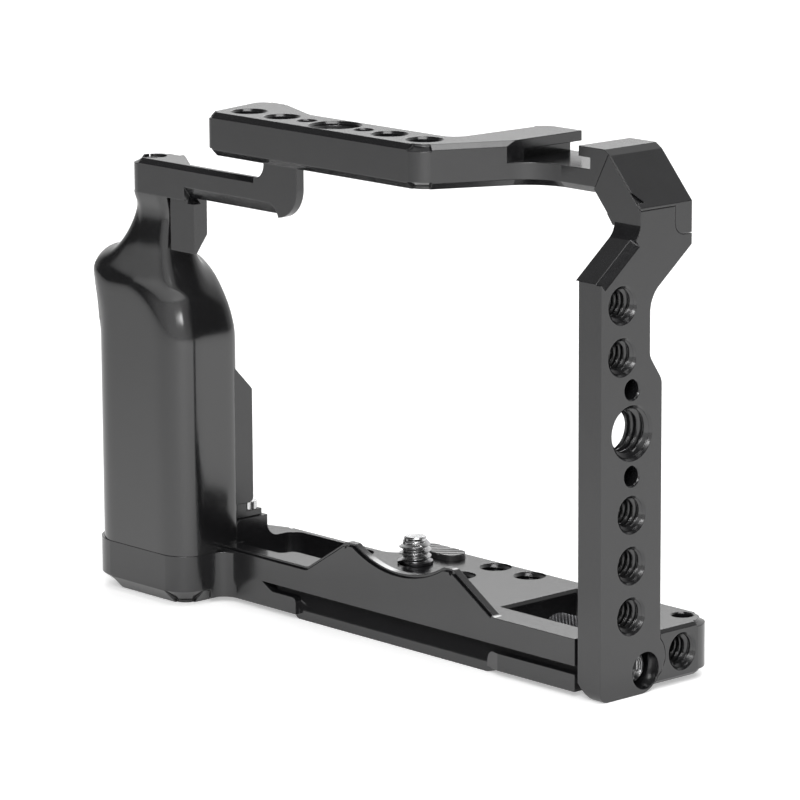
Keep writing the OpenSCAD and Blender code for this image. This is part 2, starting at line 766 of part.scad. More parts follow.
neck_z = hook_z - seat;
ring_pts = 48;
grip_mid_y = (block_front + grip_rear) / 2;
grip_mid_x = (x_left + block_x) / 2;
// Round corners of the grip's top, seen from the front
shoulder_r = 17;
outer_r = 5;
back_r = 1;
// Radius of the front edges where they reach the top, and the run over which they come to it
top_r = 7;
top_run = 12;
core_y = grip_rear - 1.5 * back_r;
// Neck, a rounded post that the hook's lobe stands on
neck_lo = [x_left + 14, hook_y + 0.1];
neck_hi = [x_left + 25.5, hook_y + 8.5];
neck_r = 4.1;
neck_foot = 4;
neck_lean = 1.5;
blend_w = 9;
blend_in = 2;
core_rise = 10;
// Levels of the loft above and below the flat top, close together where the form turns
level_steps = [-14.8, -12.5, -10.5, -8.8, -7.4, -6.2, -5.2, -4.2, -3.3, -2.5, -1.8, -1.2, -0.7, -0.3, 0.05, 0.4,
               0.8, 1.3, 1.9, 2.6, 3.5, 4.6, 6, 7.8, 10];
grip_levels = concat([seam_z + seat, grip_top / 2], [for (d = level_steps) grip_top + d], [neck_z]);

function mix(a, b, t) = a + (b - a) * t;
// Smooth step from 0 to 1
function smooth(t) = t <= 0 ? 0 : t >= 1 ? 1 : t * t * (3 - 2 * t);
// Distance of a point from a rounded box in the plane
function box_gap(p, lo, hi, r) = let (
    qx = max(lo.x + r - p.x, p.x - hi.x + r), qy = max(lo.y + r - p.y, p.y - hi.y + r))
    min(max(qx, qy), 0) + norm([max(qx, 0), max(qy, 0)]) - r;
// The grip's body, a board with a round shoulder whose front edges are well rounded
function body_gap(x, y, z) = let (
    top = box_gap([x, z], [x_left, -cage_h], [block_x, grip_top], x > grip_mid_x ? shoulder_r : outer_r),
    low_r = mix(block_wide_r, block_r, (x - x_left) / grip_w),
    r = y < core_y ? mix(low_r, top_r, smooth((z - grip_top + 1.25 * top_run) / top_run)) : back_r,
    h = y < core_y ? core_y - block_front : grip_rear - core_y,
    q = top + r, w = abs(y - core_y) - h + r)
    min(max(q, w), 0) + norm([max(q, 0), max(w, 0)]) - r;
// The neck's front leans back towards its foot
function neck_gap(x, y, z) = let (
    back = neck_lean * smooth((grip_top + core_rise - neck_foot - z) / core_rise))
    max(box_gap([x, y], neck_lo + [0, back], neck_hi, neck_r), grip_top - neck_foot - z);
// Both together with a hollow blend between them, which dies out at the flat front
function grip_gap(x, y, z) = let (
    a = body_gap(x, y, z), b = neck_gap(x, y, z), k = nib + blend_w * smooth((y - block_front) / blend_in),
    h = max(k - abs(a - b), 0) / k)
    min(a, b) - h * h * k / 4;
// Where a ray from the middle of a level leaves the grip
function reach(c, z, a, lo, hi, n) = let (m = (lo + hi) / 2)
    n == 0 ? m : grip_gap(c.x + m * cos(a), c.y + m * sin(a), z) < 0 ? reach(c, z, a, m, hi, n - 1)
    : reach(c, z, a, lo, m, n - 1);
function core_at(z) = let (t = smooth((z - grip_top + core_rise) / core_rise))
    [mix(grip_mid_x, (neck_lo.x + neck_hi.x) / 2, t), mix(grip_mid_y, (neck_lo.y + neck_hi.y) / 2, t)];
// Directions of the rays, closer together towards the level's corners
function ray_at(i, n) = let (a = 360 * i / n) a - 9 * sin(4 * a) / 4 + 6 * sin(2 * a);
function ring_at(z, n) = let (c = core_at(z))
    [for (i = [0:n - 1]) let (a = ray_at(i, n), m = reach(c, z, a, 0, grip_w, 18))
        [c.x + m * cos(a), c.y + m * sin(a), z]];

module loft(levels, n) {
    pts = [for (z = levels) each ring_at(z, n)];
    last = len(levels) - 1;
    polyhedron(pts, [[for (i = [0:n - 1]) i], [for (i = [n - 1:-1:0]) last * n + i],
        for (k = [0:last - 1], i = [0:n - 1]) each [
            [k * n + i, (k + 1) * n + i, (k + 1) * n + (i + 1) % n],
            [k * n + i, (k + 1) * n + (i + 1) % n, k * n + (i + 1) % n]]]);
}

// Fixings under the grip
fix_d = 3;
fix_head_d = 5.6;
fix_head_h = 2.6;
fix_len = 11;
fix_well = 3.2;
insert_d = 5;
insert_len = 6.5;
fix_places = [[x_left + 7.5, grip_mid_y], [block_x - 7.5, grip_mid_y]];
pin_d = 3;
pin_len = 8;
pin_places = [[x_left + 14.2, grip_mid_y - 3.4], [x_left + 14.2, grip_mid_y + 3.4]];
top_fix_len = 13;

module grip_fixings() {
    for (p = fix_places) translate([p.x, p.y, -over]) {
        cylinder(d = fix_d + loose, h = base_t + over);
        cylinder(d = fix_head_d + loose, h = fix_well + over);
    }
    for (p = pin_places) translate([p.x, p.y, seam_z - pin_len / 2]) cylinder(d = pin_d + seat, h = pin_len);
}

module hand_grip() color(gloss_black) difference() {
    loft(grip_levels, ring_pts);
    for (p = fix_places) translate([p.x, p.y, seam_z - over])
        cylinder(d = insert_d + seat, h = insert_len + over + loose);
    for (p = pin_places) translate([p.x, p.y, seam_z - over])
        cylinder(d = pin_d + seat, h = pin_len / 2 + over + loose);
    translate([lobe_x, hook_y + lobe_r, neck_z - insert_len - loose])
        cylinder(d = insert_d + seat, h = insert_len + over + loose);
    tab_room();
    post_room();
}

// Slot in the grip's shoulder that takes the tab
module tab_room() {
    bar([tab_x - loose, tab_y - loose, hook_z - tab_h - loose],
        [tab_x + tab_w + loose, tab_y + tab_d + loose, hook_z + over]);
}

module grip_inserts() color(brass) {
    for (p = fix_places) translate([p.x, p.y, seam_z + seat]) insert();
    translate([lobe_x, hook_y + lobe_r, neck_z - insert_len]) insert();
}

module insert() difference() {
    cylinder(d = insert_d, h = insert_len);
    translate([0, 0, -over]) cylinder(d = fix_d + seat, h = insert_len + 2 * over);
}

module grip_bottom_screws() color(dark_steel)
    for (p = fix_places) translate([p.x, p.y, fix_well - fix_head_h])
        cap_screw(fix_d, fix_head_d, fix_head_h, fix_len);

module grip_dowels() color(bright_steel)
    for (p = pin_places) translate([p.x, p.y, seam_z - pin_len / 2]) cylinder(d = pin_d, h = pin_len - seat);

module grip_top_screw() color(dark_steel)
    translate([lobe_x, hook_y + lobe_r, hook_z + hook_h - over]) mirror([0, 0, 1])
        cap_screw(top_screw_d, top_screw_head_d, top_screw_head_h, top_fix_len);

// Rear post, a strip behind the grip on the base's raised foot

post_w = 4.4;
post_x = block_x - post_w / 2;
post_front = grip_rear - 3;
post_rear = lip_y + 7.7;
post_z = 18.8;
post_top = 46.8;
post_c = 5;
post_foot_t = 1.3;
post_foot_rear = foot_y + foot_d - 1;
post_screw_d = 2;
post_head_d = 3.4;
post_head_h = 1.6;
post_screw_len = 6;
post_screw_y = post_foot_rear - 2;
post_neck_d = 3;

module rear_post() color(black_alloy) difference() {
    union() {
        difference() {
            along_x(block_x - post_w, block_x)
                outline([[post_front, post_z], [post_rear, post_z], [post_rear, post_top - post_c],
                         [grip_rear, post_top], [post_front, post_top]], [0, foot_edge_r, foot_edge_r, 0, 0]);
        }
        bar([block_x - post_w, foot_y + loose, base_t + foot_h + seat],
            [block_x - base_c, foot_y + loose + post_neck_d, post_z + over]);
        bar([block_x - post_w, foot_y + loose, base_t + foot_h + seat],
            [block_x - base_c, post_foot_rear, base_t + foot_h + seat + post_foot_t]);
    }
    translate([post_x, post_screw_y, 0]) cylinder(d = post_screw_d + loose, h = post_z);
}

// Slot in the grip's back that takes the post's front edge
module post_room() {
    bar([block_x - post_w - seat, post_front - seat, post_z - loose],
        [block_x + over, grip_rear + over, post_top + loose]);
}

module post_screw() color(bright_steel)
    translate([post_x, post_screw_y, base_t + foot_h + 2 * seat + post_foot_t + post_head_h]) mirror([0, 0, 1])
        cap_screw(post_screw_d, post_head_d, post_head_h, post_screw_len);

// Captive camera screw with its clip and washer

module camera_screw() color(bright_steel) translate([screw_x, screw_y, 0]) difference() {
    union() {
        translate([0, 0, head_rest]) cylinder(d = head_d, h = head_h);
        translate([0, 0, head_rest]) cylinder(d = relief_d, h = base_t + thread_z - head_rest + over);
        translate([0, 0, base_t + thread_z]) cylinder(d = quarter_d, h = thread_up - thread_z - thread_c);
        translate([0, 0, base_t + thread_up - thread_c])
            cylinder(d1 = quarter_d, d2 = quarter_d - 2 * thread_c, h = thread_c);
    }
    // Slot for a coin
    translate([-head_d, -coin_w / 2, 0]) cube([2 * head_d, coin_w, head_rest + coin_deep]);
}

// The screw hangs by its clip, with its head low in the well, and rises by its travel
head_rest = 0.4;
thread_c = 0.8;
clip_up = lift;
thread_z = clip_up + clip_t + lift;
coin_w = 1.6;
coin_deep = 1.5;

module screw_clip() color(dark_steel) translate([screw_x, screw_y, base_t + clip_up]) difference() {
    cylinder(d = clip_d, h = clip_t);
    translate([0, 0, -over]) cylinder(d = relief_d + seat, h = clip_t + 2 * over);
    translate([-relief_d / 3, -clip_d, -over]) cube([relief_d / 1.5, clip_d, clip_t + 2 * over]);
}

module screw_washer() color(bright_steel) translate([screw_x, screw_y, head_rest + head_h + seat])
    difference() {
        cylinder(d = washer_d, h = washer_t);
        translate([0, 0, -over]) cylinder(d = quarter_d + loose, h = washer_t + 2 * over);
    }

// Driver stored in a channel under the base, held by magnets

driver_z = 6.15;
knob_d = 9.6;
driver_y = window_front + knob_d / 2 + 0.4;
knob_w = 0.44 * window_w;
knob_x = window_x + 0.43 * window_w;
flutes = 18;
flute_d = 0.9;
knob_c = 0.5;
blade_d = 3;
blade_len = 20;
blade_tip = 0.9;
tip_len = 5;
channel_gap = 0.4;
magnet_d = 4;
magnet_t = 1.5;
magnet_places = [6, 14];

module driver_channel() {
    x0 = knob_x - blade_len - channel_gap;
    bar([x0, driver_y - blade_d / 2 - channel_gap, -over],
        [window_x + over, driver_y + blade_d / 2 + channel_gap, driver_z + blade_d / 2 + channel_gap]);
    for (m = magnet_places) translate([window_x - m, driver_y, driver_z + blade_d / 2])
        cylinder(d = magnet_d + seat, h = channel_gap + magnet_t + seat);
}

module driver_knob() color(dark_steel) translate([knob_x, driver_y, driver_z]) rotate([0, 90, 0])
    difference() {
        rotate_extrude() polygon([[0, 0], [knob_d / 2 - knob_c, 0], [knob_d / 2, knob_c],
                                  [knob_d / 2, knob_w - knob_c], [knob_d / 2 - knob_c, knob_w], [0, knob_w]]);
        for (i = [0:flutes - 1]) rotate([0, 0, 360 * i / flutes]) translate([knob_d / 2, 0, -over])
            cylinder(d = flute_d, h = knob_w + 2 * over, $fn = 16);
        translate([0, 0, -over]) cylinder(d = blade_d, h = knob_w / 2 + over);
    }

module driver_blade() color(bright_steel) translate([knob_x - blade_len, driver_y, driver_z]) rotate([0, 90, 0])
    difference() {
        cylinder(d = blade_d, h = blade_len + knob_w / 2);
        for (s = [-1, 1]) scale([1, s, 1]) translate([-blade_d, blade_tip / 2, -over])
            cube([2 * blade_d, blade_d, tip_len + over]);
    }

module driver_magnets() color(bright_steel)
    for (m = magnet_places) translate([window_x - m, driver_y, driver_z + blade_d / 2 + channel_gap])
        cylinder(d = magnet_d, h = magnet_t);

base_plate();
side_arm();
top_plate();
hand_grip();
rear_post();
post_screw();
grip_top_screw();
grip_bottom_screws();
grip_inserts();
grip_dowels();
arm_lower_screw();
arm_upper_screws();
arm_dowel();
camera_screw();
screw_clip();
screw_washer();
rubber_pad();
driver_knob();
driver_blade();
driver_magnets();
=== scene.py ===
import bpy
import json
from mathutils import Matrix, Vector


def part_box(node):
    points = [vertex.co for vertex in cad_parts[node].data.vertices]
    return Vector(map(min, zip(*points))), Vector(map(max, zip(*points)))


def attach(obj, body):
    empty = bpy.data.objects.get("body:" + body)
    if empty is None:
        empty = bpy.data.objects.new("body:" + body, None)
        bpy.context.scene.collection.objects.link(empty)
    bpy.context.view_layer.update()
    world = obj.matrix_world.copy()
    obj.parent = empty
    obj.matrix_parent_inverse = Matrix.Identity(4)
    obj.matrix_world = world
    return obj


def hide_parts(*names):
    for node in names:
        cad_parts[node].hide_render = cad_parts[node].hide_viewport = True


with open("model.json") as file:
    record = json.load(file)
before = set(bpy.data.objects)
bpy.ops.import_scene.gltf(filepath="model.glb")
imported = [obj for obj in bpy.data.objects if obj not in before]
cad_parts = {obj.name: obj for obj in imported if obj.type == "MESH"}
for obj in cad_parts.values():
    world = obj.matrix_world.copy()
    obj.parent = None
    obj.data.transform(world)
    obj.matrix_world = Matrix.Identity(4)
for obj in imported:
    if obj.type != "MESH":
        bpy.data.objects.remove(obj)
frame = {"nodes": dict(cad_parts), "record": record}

"""Camera cage: its finishes, threads, hand grip and small fittings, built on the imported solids.

Finishes and the studio are in metres, forms and the sizes of pieces in millimetres.
"""

import json
import logging
import math
from dataclasses import dataclass, field
from enum import Enum
from typing import ClassVar, Iterable, Sequence

import bmesh
import bpy
import numpy as np
from mathutils import Matrix, Vector

LOG = logging.getLogger("camera_cage")
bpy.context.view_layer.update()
MM = 0.001
TURN = 2.0 * math.pi
WELD_M = 1e-7


class Body(Enum):
    """The rigid bodies that pieces ride on."""

    CAGE = "cage"
    TIE_SCREW = "tie_screw"
    DRIVER = "driver"


class Slot(Enum):
    """The record's material slots."""

    ALLOY = "black_alloy"
    GRIP = "gloss_grip"
    BRIGHT = "bright_steel"
    DARK = "dark_steel"
    BRASS = "brass"
    RUBBER = "rubber"


# ---- Node helpers --------------------------------------------------------------------------


@dataclass(frozen=True)
class Grain:
    """A noise: its cells per metre and its octaves."""

    cells: float
    octaves: float


@dataclass(frozen=True)
class Bump:
    """A bump: its strength, its depth in metres and the radius in metres by which edges look rounded."""

    strength: float
    depth: float
    edge: float = 0.0


@dataclass
class NodeBench:
    """A new material's node tree, with short calls for the nodes that the finishes share."""

    noise_reach: ClassVar[tuple[float, float]] = (0.25, 0.75)
    ramp_stops: ClassVar[tuple[float, float]] = (0.3, 0.7)
    edge_samples: ClassVar[int] = 6

    name: str
    material: bpy.types.Material = field(init=False)
    shader: bpy.types.Node = field(init=False)

    def __post_init__(self) -> None:
        """Makes the material and finds its principled shader."""
        self.material = bpy.data.materials.new(self.name)
        self.material.use_nodes = True
        self.shader = self.material.node_tree.nodes["Principled BSDF"]

    def add(self, kind: str, **settings: object) -> bpy.types.Node:
        """Adds a node.

        Args:
            kind: The node's type name.
            settings: Attributes to set on the node.

        Returns:
            The new node.
        """
        node = self.material.node_tree.nodes.new(kind)
        for key, value in settings.items():
            setattr(node, key, value)
        return node

    def link(self, source: bpy.types.NodeSocket, target: bpy.types.NodeSocket) -> None:
        """Links two sockets."""
        self.material.node_tree.links.new(source, target)

    def position(self) -> bpy.types.NodeSocket:
        """Returns the object coordinates, in metres."""
        return self.add("ShaderNodeTexCoord").outputs["Object"]

    def noise(self, grain: Grain, stretch: Vector | None = None) -> bpy.types.NodeSocket:
        """Adds a noise over the object coordinates.

        Args:
            grain: The noise's cells and octaves.
            stretch: Factors on the three axes, for a brushed or drawn look.

        Returns:
            The noise's factor.
        """
        where = self.position()
        if stretch is not None:
            mapping = self.add("ShaderNodeMapping")
            mapping.inputs["Scale"].default_value = stretch
            self.link(where, mapping.inputs["Vector"])
            where = mapping.outputs["Vector"]
        node = self.add("ShaderNodeTexNoise")
        node.inputs["Scale"].default_value = grain.cells
        node.inputs["Detail"].default_value = grain.octaves
        self.link(where, node.inputs["Vector"])
        return node.outputs["Fac"]

    def spread(self, factor: bpy.types.NodeSocket, low: float, high: float) -> bpy.types.NodeSocket:
        """Maps the usual reach of a noise onto two values.

        Args:
            factor: The noise's factor.
            low: Value at the lower end.
            high: Value at the upper end.

        Returns:
            The mapped value.
        """
        node = self.add("ShaderNodeMapRange")
        node.inputs["From Min"].default_value, node.inputs["From Max"].default_value = self.noise_reach
        node.inputs["To Min"].default_value = low
        node.inputs["To Max"].default_value = high
        self.link(factor, node.inputs["Value"])
        return node.outputs["Result"]

    def tint(self, factor: bpy.types.NodeSocket, low: Sequence[float], high: Sequence[float]) -> None:
        """Sets the base colour between two colours by a factor.

        Args:
            factor: The factor.
            low: Colour at its lower end.
            high: Colour at its upper end.
        """
        ramp = self.add("ShaderNodeValToRGB")
        stops = ramp.color_ramp.elements
        stops[0].position, stops[1].position = self.ramp_stops
        stops[0].color, stops[1].color = (*low, 1.0), (*high, 1.0)
        self.link(factor, ramp.inputs["Fac"])
        self.link(ramp.outputs["Color"], self.shader.inputs["Base Color"])

    def relief(self, height: bpy.types.NodeSocket, bump: Bump) -> None:
        """Gives the shader a bump, over edges that are softened where the bump's edge isn't 0.

        Args:
            height: The bump's height factor.
            bump: Its strength, depth and edge.
        """
        node = self.add("ShaderNodeBump")
        node.inputs["Strength"].default_value = bump.strength
        node.inputs["Distance"].default_value = bump.depth
        self.link(height, node.inputs["Height"])
        if bump.edge > 0.0:
            soft = self.add("ShaderNodeBevel", samples=self.edge_samples)
            soft.inputs["Radius"].default_value = bump.edge
            self.link(soft.outputs["Normal"], node.inputs["Normal"])
        self.link(node.outputs["Normal"], self.shader.inputs["Normal"])


# ---- Finishes ------------------------------------------------------------------------------


@dataclass(frozen=True)
class SatinAlloy:
    """Black anodised aluminium with a fine blasted grain."""

    name: str = "black_anodised_alloy"
    dark: tuple[float, float, float] = (0.0085, 0.0085, 0.0092)
    light: tuple[float, float, float] = (0.0115, 0.0115, 0.0124)
    roughness: tuple[float, float] = (0.15, 0.19)
    ior: float = 1.75
    clouds: Grain = Grain(180.0, 3.0)
    patches: Grain = Grain(900.0, 4.0)
    blasting: Grain = Grain(5200.0, 3.0)
    bump: Bump = Bump(0.07, 0.00001, 0.00022)

    def material(self) -> bpy.types.Material:
        """Builds the material.

        Returns:
            The new material.
        """
        bench = NodeBench(self.name)
        shader = bench.shader
        shader.inputs["Metallic"].default_value = 0.0
        shader.inputs["IOR"].default_value = self.ior
        bench.tint(bench.noise(self.clouds), self.dark, self.light)
        bench.link(bench.spread(bench.noise(self.patches), *self.roughness), shader.inputs["Roughness"])
        bench.relief(bench.noise(self.blasting), self.bump)
        return bench.material


@dataclass(frozen=True)
class MouldedGrip:
    """Glossy black grip with a faint orange peel."""

    name: str = "glossy_grip"
    dark: tuple[float, float, float] = (0.0075, 0.0075, 0.008)
    light: tuple[float, float, float] = (0.0095, 0.0095, 0.0102)
    roughness: tuple[float, float] = (0.13, 0.17)
    ior: float = 1.85
    clouds: Grain = Grain(150.0, 2.0)
    patches: Grain = Grain(700.0, 3.0)
    peel: Grain = Grain(3600.0, 2.0)
    bump: Bump = Bump(0.1, 0.000006)

    def material(self) -> bpy.types.Material:
        """Builds the material.

        Returns:
            The new material.
        """
        bench = NodeBench(self.name)
        shader = bench.shader
        shader.inputs["IOR"].default_value = self.ior
        bench.tint(bench.noise(self.clouds), self.dark, self.light)
        bench.link(bench.spread(bench.noise(self.patches), *self.roughness), shader.inputs["Roughness"])
        bench.relief(bench.noise(self.peel), self.bump)
        return bench.material


@dataclass(frozen=True)
class TurnedSteel:
    """Steel with fine turning marks across the given stretch."""

    name: str
    dark: tuple[float, float, float]
    light: tuple[float, float, float]
    roughness: tuple[float, float]
    stretch: Vector
    turning: Grain = Grain(1500.0, 4.0)
    bump: Bump = Bump(0.12, 0.00001, 0.0001)

    def material(self) -> bpy.types.Material:
        """Builds the material.

        Returns:
            The new material.
        """
        bench = NodeBench(self.name)
        shader = bench.shader
        shader.inputs["Metallic"].default_value = 1.0
        marks = bench.noise(self.turning, self.stretch)
        bench.tint(marks, self.dark, self.light)
        bench.link(bench.spread(marks, *self.roughness), shader.inputs["Roughness"])
        bench.relief(marks, self.bump)
        return bench.material


@dataclass(frozen=True)
class RibbedRubber:
    """Dark grey rubber with a slight sheen from its mould."""

    name: str = "ribbed_rubber"
    dark: tuple[float, float, float] = (0.02, 0.02, 0.021)
    light: tuple[float, float, float] = (0.032, 0.032, 0.033)
    roughness: tuple[float, float] = (0.3, 0.42)
    ior: float = 1.6
    clouds: Grain = Grain(900.0, 3.0)
    patches: Grain = Grain(2500.0, 3.0)
    pores: Grain = Grain(6000.0, 3.0)
    bump: Bump = Bump(0.3, 0.00002, 0.0001)

    def material(self) -> bpy.types.Material:
        """Builds the material.

        Returns:
            The new material.
        """
        bench = NodeBench(self.name)
        shader = bench.shader
        shader.inputs["IOR"].default_value = self.ior
        bench.tint(bench.noise(self.clouds), self.dark, self.light)
        bench.link(bench.spread(bench.noise(self.patches), *self.roughness), shader.inputs["Roughness"])
        bench.relief(bench.noise(self.pores), self.bump)
        return bench.material


FINISHES: dict[Slot, bpy.types.Material] = {
    Slot.ALLOY: SatinAlloy().material(),
    Slot.GRIP: MouldedGrip().material(),
    Slot.BRIGHT: TurnedSteel("bright_steel", (0.55, 0.55, 0.56), (0.7, 0.7, 0.7), (0.16, 0.26),
                             Vector((0.2, 0.2, 4.0))).material(),
    Slot.DARK: TurnedSteel("blackened_steel", (0.07, 0.07, 0.075), (0.11, 0.11, 0.115), (0.28, 0.4),
                           Vector((1.0, 1.0, 1.0))).material(),
    Slot.BRASS: TurnedSteel("plain_brass", (0.55, 0.4, 0.18), (0.7, 0.52, 0.26), (0.25, 0.35),
                            Vector((0.2, 0.2, 3.0))).material(),
    Slot.RUBBER: RibbedRubber().material(),
}


# ---- Mesh helpers --------------------------------------------------------------------------


@dataclass
class Form:
    """Points in millimetres and faces that become one piece."""

    ease_share: ClassVar[float] = 0.3

    points: list[Vector] = field(default_factory=list)
    faces: list[tuple[int, ...]] = field(default_factory=list)

    def add(self, points: Iterable[Vector], faces: Iterable[Sequence[int]]) -> "Form":
        """Adds more points and the faces between them.

        Args:
            points: The new points.
            faces: The new faces, numbered from the first new point.

        Returns:
            The form itself.
        """
        first = len(self.points)
        self.points.extend(points)
        self.faces.extend(tuple(first + i for i in face) for face in faces)
        return self

    def placed(self, place: Matrix) -> "Form":
        """Returns the form moved by a matrix in millimetres."""
        return Form([place @ p for p in self.points], list(self.faces))

    def skin(self, rings: Sequence[Sequence[Vector]], lids: bool = True) -> "Form":
        """Adds a skin over closed rings of equal length.

        Args:
            rings: The rings, from one end to the other.
            lids: Whether the first and last rings are closed with a face.

        Returns:
            The form itself.
        """
        size = len(rings[0])
        faces = [(k * size + i, k * size + (i + 1) % size, (k + 1) * size + (i + 1) % size, (k + 1) * size + i)
                 for k in range(len(rings) - 1) for i in range(size)]
        if lids:
            faces += [tuple(reversed(range(size))), tuple((len(rings) - 1) * size + i for i in range(size))]
        return self.add([p for ring in rings for p in ring], faces)

    def slab(self, outline: Sequence[Vector], low: float, high: float, round_top: float = 0.0) -> "Form":
        """Adds a slab on a convex outline, whose upper edge is eased.

        Args:
            outline: The outline's points, turning left.
            low: The slab's lower height.
            high: Its upper height.
            round_top: Size of the eased edge.

        Returns:
            The form itself.
        """
        middle = sum(outline, Vector((0.0, 0.0))) / len(outline)
        eased = self.ease_share * round_top
        rings = [(0.0, low), (0.0, high - round_top), (eased, high - eased), (round_top, high)]
        if round_top == 0.0:
            rings = rings[:1] + rings[-1:]
        return self.skin([[Vector((*(p + (middle - p).normalized() * inset), z)) for p in outline]
                          for inset, z in rings])


def arc(centre: Sequence[float], radius: float, start: float, end: float, steps: int) -> list[Vector]:
    """Returns points on an arc in the plane, between two angles in degrees."""
    angles = [math.radians(start + (end - start) * i / steps) for i in range(steps + 1)]
    return [Vector((centre[0] + radius * math.cos(a), centre[1] + radius * math.sin(a))) for a in angles]


def clipped(outline: Sequence[Vector], side: Vector, reach: float) -> list[Vector]:
    """Cuts a convex outline by a line.

    Args:
        outline: The outline's points.
        side: The line's unit normal.
        reach: What lies beyond this distance along the normal is cut off.

    Returns:
        The points of what is left.
    """
    kept: list[Vector] = []
    for here, after in zip(outline, list(outline[1:]) + list(outline[:1])):
        a, b = here.dot(side) - reach, after.dot(side) - reach
        if a <= 0:
            kept.append(here)
        if a * b < 0:
            kept.append(here.lerp(after, a / (a - b)))
    return kept


def turned(profile: Sequence[Sequence[float]], sides: int = 72) -> Form:
    """Turns a profile about the z axis.

    Args:
        profile: Radius and height of each ring, with a third number of 1 where the ring is a hexagon.
        sides: Points round each ring.

    Returns:
        The closed form.
    """
    rings = []
    for radius, z, *flats in profile:
        ring = []
        for i in range(sides):
            angle = TURN * i / sides
            off = (angle + math.pi / 6) % (math.pi / 3) - math.pi / 6
            reach = radius / math.cos(off) if flats and flats[0] else radius
            ring.append(Vector((reach * math.cos(angle), reach * math.sin(angle), z)))
        rings.append(ring)
    return Form().skin(rings)


def make_piece(name: str, form: Form, slot: Slot, body: Body, smooth_angle: float | None = None,
               normals: np.ndarray | None = None) -> bpy.types.Object:
    """Makes a mesh piece, dresses it and lets it ride on its body.

    Args:
        name: The piece's name.
        form: Its points, in millimetres, and its faces.
        slot: The record's slot that it takes its finish from.
        body: The body that it rides on.
        smooth_angle: Angle in degrees above which an edge stays sharp, or None for flat faces.
        normals: The surface's own normals at the points, if they are known.

    Returns:
        The new object.
    """
    mesh = bpy.data.meshes.new(name)
    mesh.from_pydata([p * MM for p in form.points], [], form.faces)
    if normals is None:
        tidy = bmesh.new()
        tidy.from_mesh(mesh)
        bmesh.ops.remove_doubles(tidy, verts=tidy.verts, dist=WELD_M)
        bmesh.ops.dissolve_degenerate(tidy, edges=tidy.edges, dist=WELD_M)
        bmesh.ops.recalc_face_normals(tidy, faces=tidy.faces)
        tidy.to_mesh(mesh)
        tidy.free()
    mesh.validate()
    piece = bpy.data.objects.new(name, mesh)
    bpy.context.scene.collection.objects.link(piece)
    mesh.materials.append(FINISHES[slot])
    if smooth_angle is not None:
        mesh.shade_smooth()
        mesh.set_sharp_from_angle(angle=math.radians(smooth_angle))
    if normals is not None:
        mesh.shade_smooth()
        mesh.normals_split_custom_set_from_vertices([tuple(n) for n in normals])
    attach(piece, body.value)
    LOG.info("%s: %d faces on %s", name, len(mesh.polygons), body.value)
    return piece


def axis_frame(centre: Sequence[float], axis: Sequence[float]) -> Matrix:
    """Returns the frame whose z axis is the given axis, at a centre."""
    turn = Vector(axis).to_track_quat("Z", "Y").to_matrix().to_4x4()
    return Matrix.Translation(Vector(centre)) @ turn


class Cut(Enum):
    """Which side of its wall a thread's crests stand on."""

    INSIDE = -1
    OUTSIDE = 1


@dataclass(frozen=True)
class Thread:
    """A helical sixty degree thread between two heights along its own z axis, in millimetres."""

    major: float
    pitch: float
    low: float
    high: float
    cut: Cut
    lead: float = 0.45
    flat: float = 0.12
    depth_share: float = 0.56
    wall_gap: float = 0.01
    sides: int = 72

    @property
    def depth(self) -> float:
        """Returns the depth of the thread."""
        return self.depth_share * self.pitch

    def wall(self, deep: float, z: float) -> float:
        """Returns the wall's radius.

        Args:
            deep: 0 at the thread's root and 1 at its crest.
            z: Height along the axis, whose two ends have a countersink or a chamfer.

        Returns:
            The radius, with the crests cut back by the ends' cones.
        """
        end = min(z - self.low, self.high - z)
        if self.cut is Cut.INSIDE:
            root = self.major - self.wall_gap
            return max(root - deep * self.depth, min(root, root - end))
        root = self.major - self.depth
        return min(root + deep * self.depth, root + max(0.0, z - self.low), root - 0.5 * self.lead + (self.high - z))

    def form(self) -> Form:
        """Builds the thread's wall about the z axis.

        Returns:
            The open wall.
        """
        shape = [(0.0, 0.0), (self.flat, 0.0), (0.5 - self.flat / 2, 1.0), (0.5 + self.flat / 2, 1.0),
                 (1.0 - self.flat, 0.0)]
        turns = math.ceil((self.high - self.low) / self.pitch) + 2
        rows = turns * len(shape)
        points: list[Vector] = []
        for side in range(self.sides):
            angle = TURN * side / self.sides
            for row in range(rows):
                share, deep = shape[row % len(shape)]
                z = self.low + (row // len(shape) - 1 + share + side / self.sides) * self.pitch
                z = min(self.high, max(self.low, z))
                radius = self.wall(deep, z)
                points.append(Vector((radius * math.cos(angle), radius * math.sin(angle), z)))
        faces: list[tuple[int, ...]] = []
        for side in range(self.sides):
            after = (side + 1) % self.sides
            for row in range(rows - 1):
                # The last side meets the first one a turn further up
                far = row + (len(shape) if after == 0 else 0)
                if far + 1 < rows:
                    faces.append((side * rows + row, side * rows + row + 1, after * rows + far + 1,
                                  after * rows + far))
        return Form(points, faces)


# ---- Sub-assemblies ------------------------------------------------------------------------


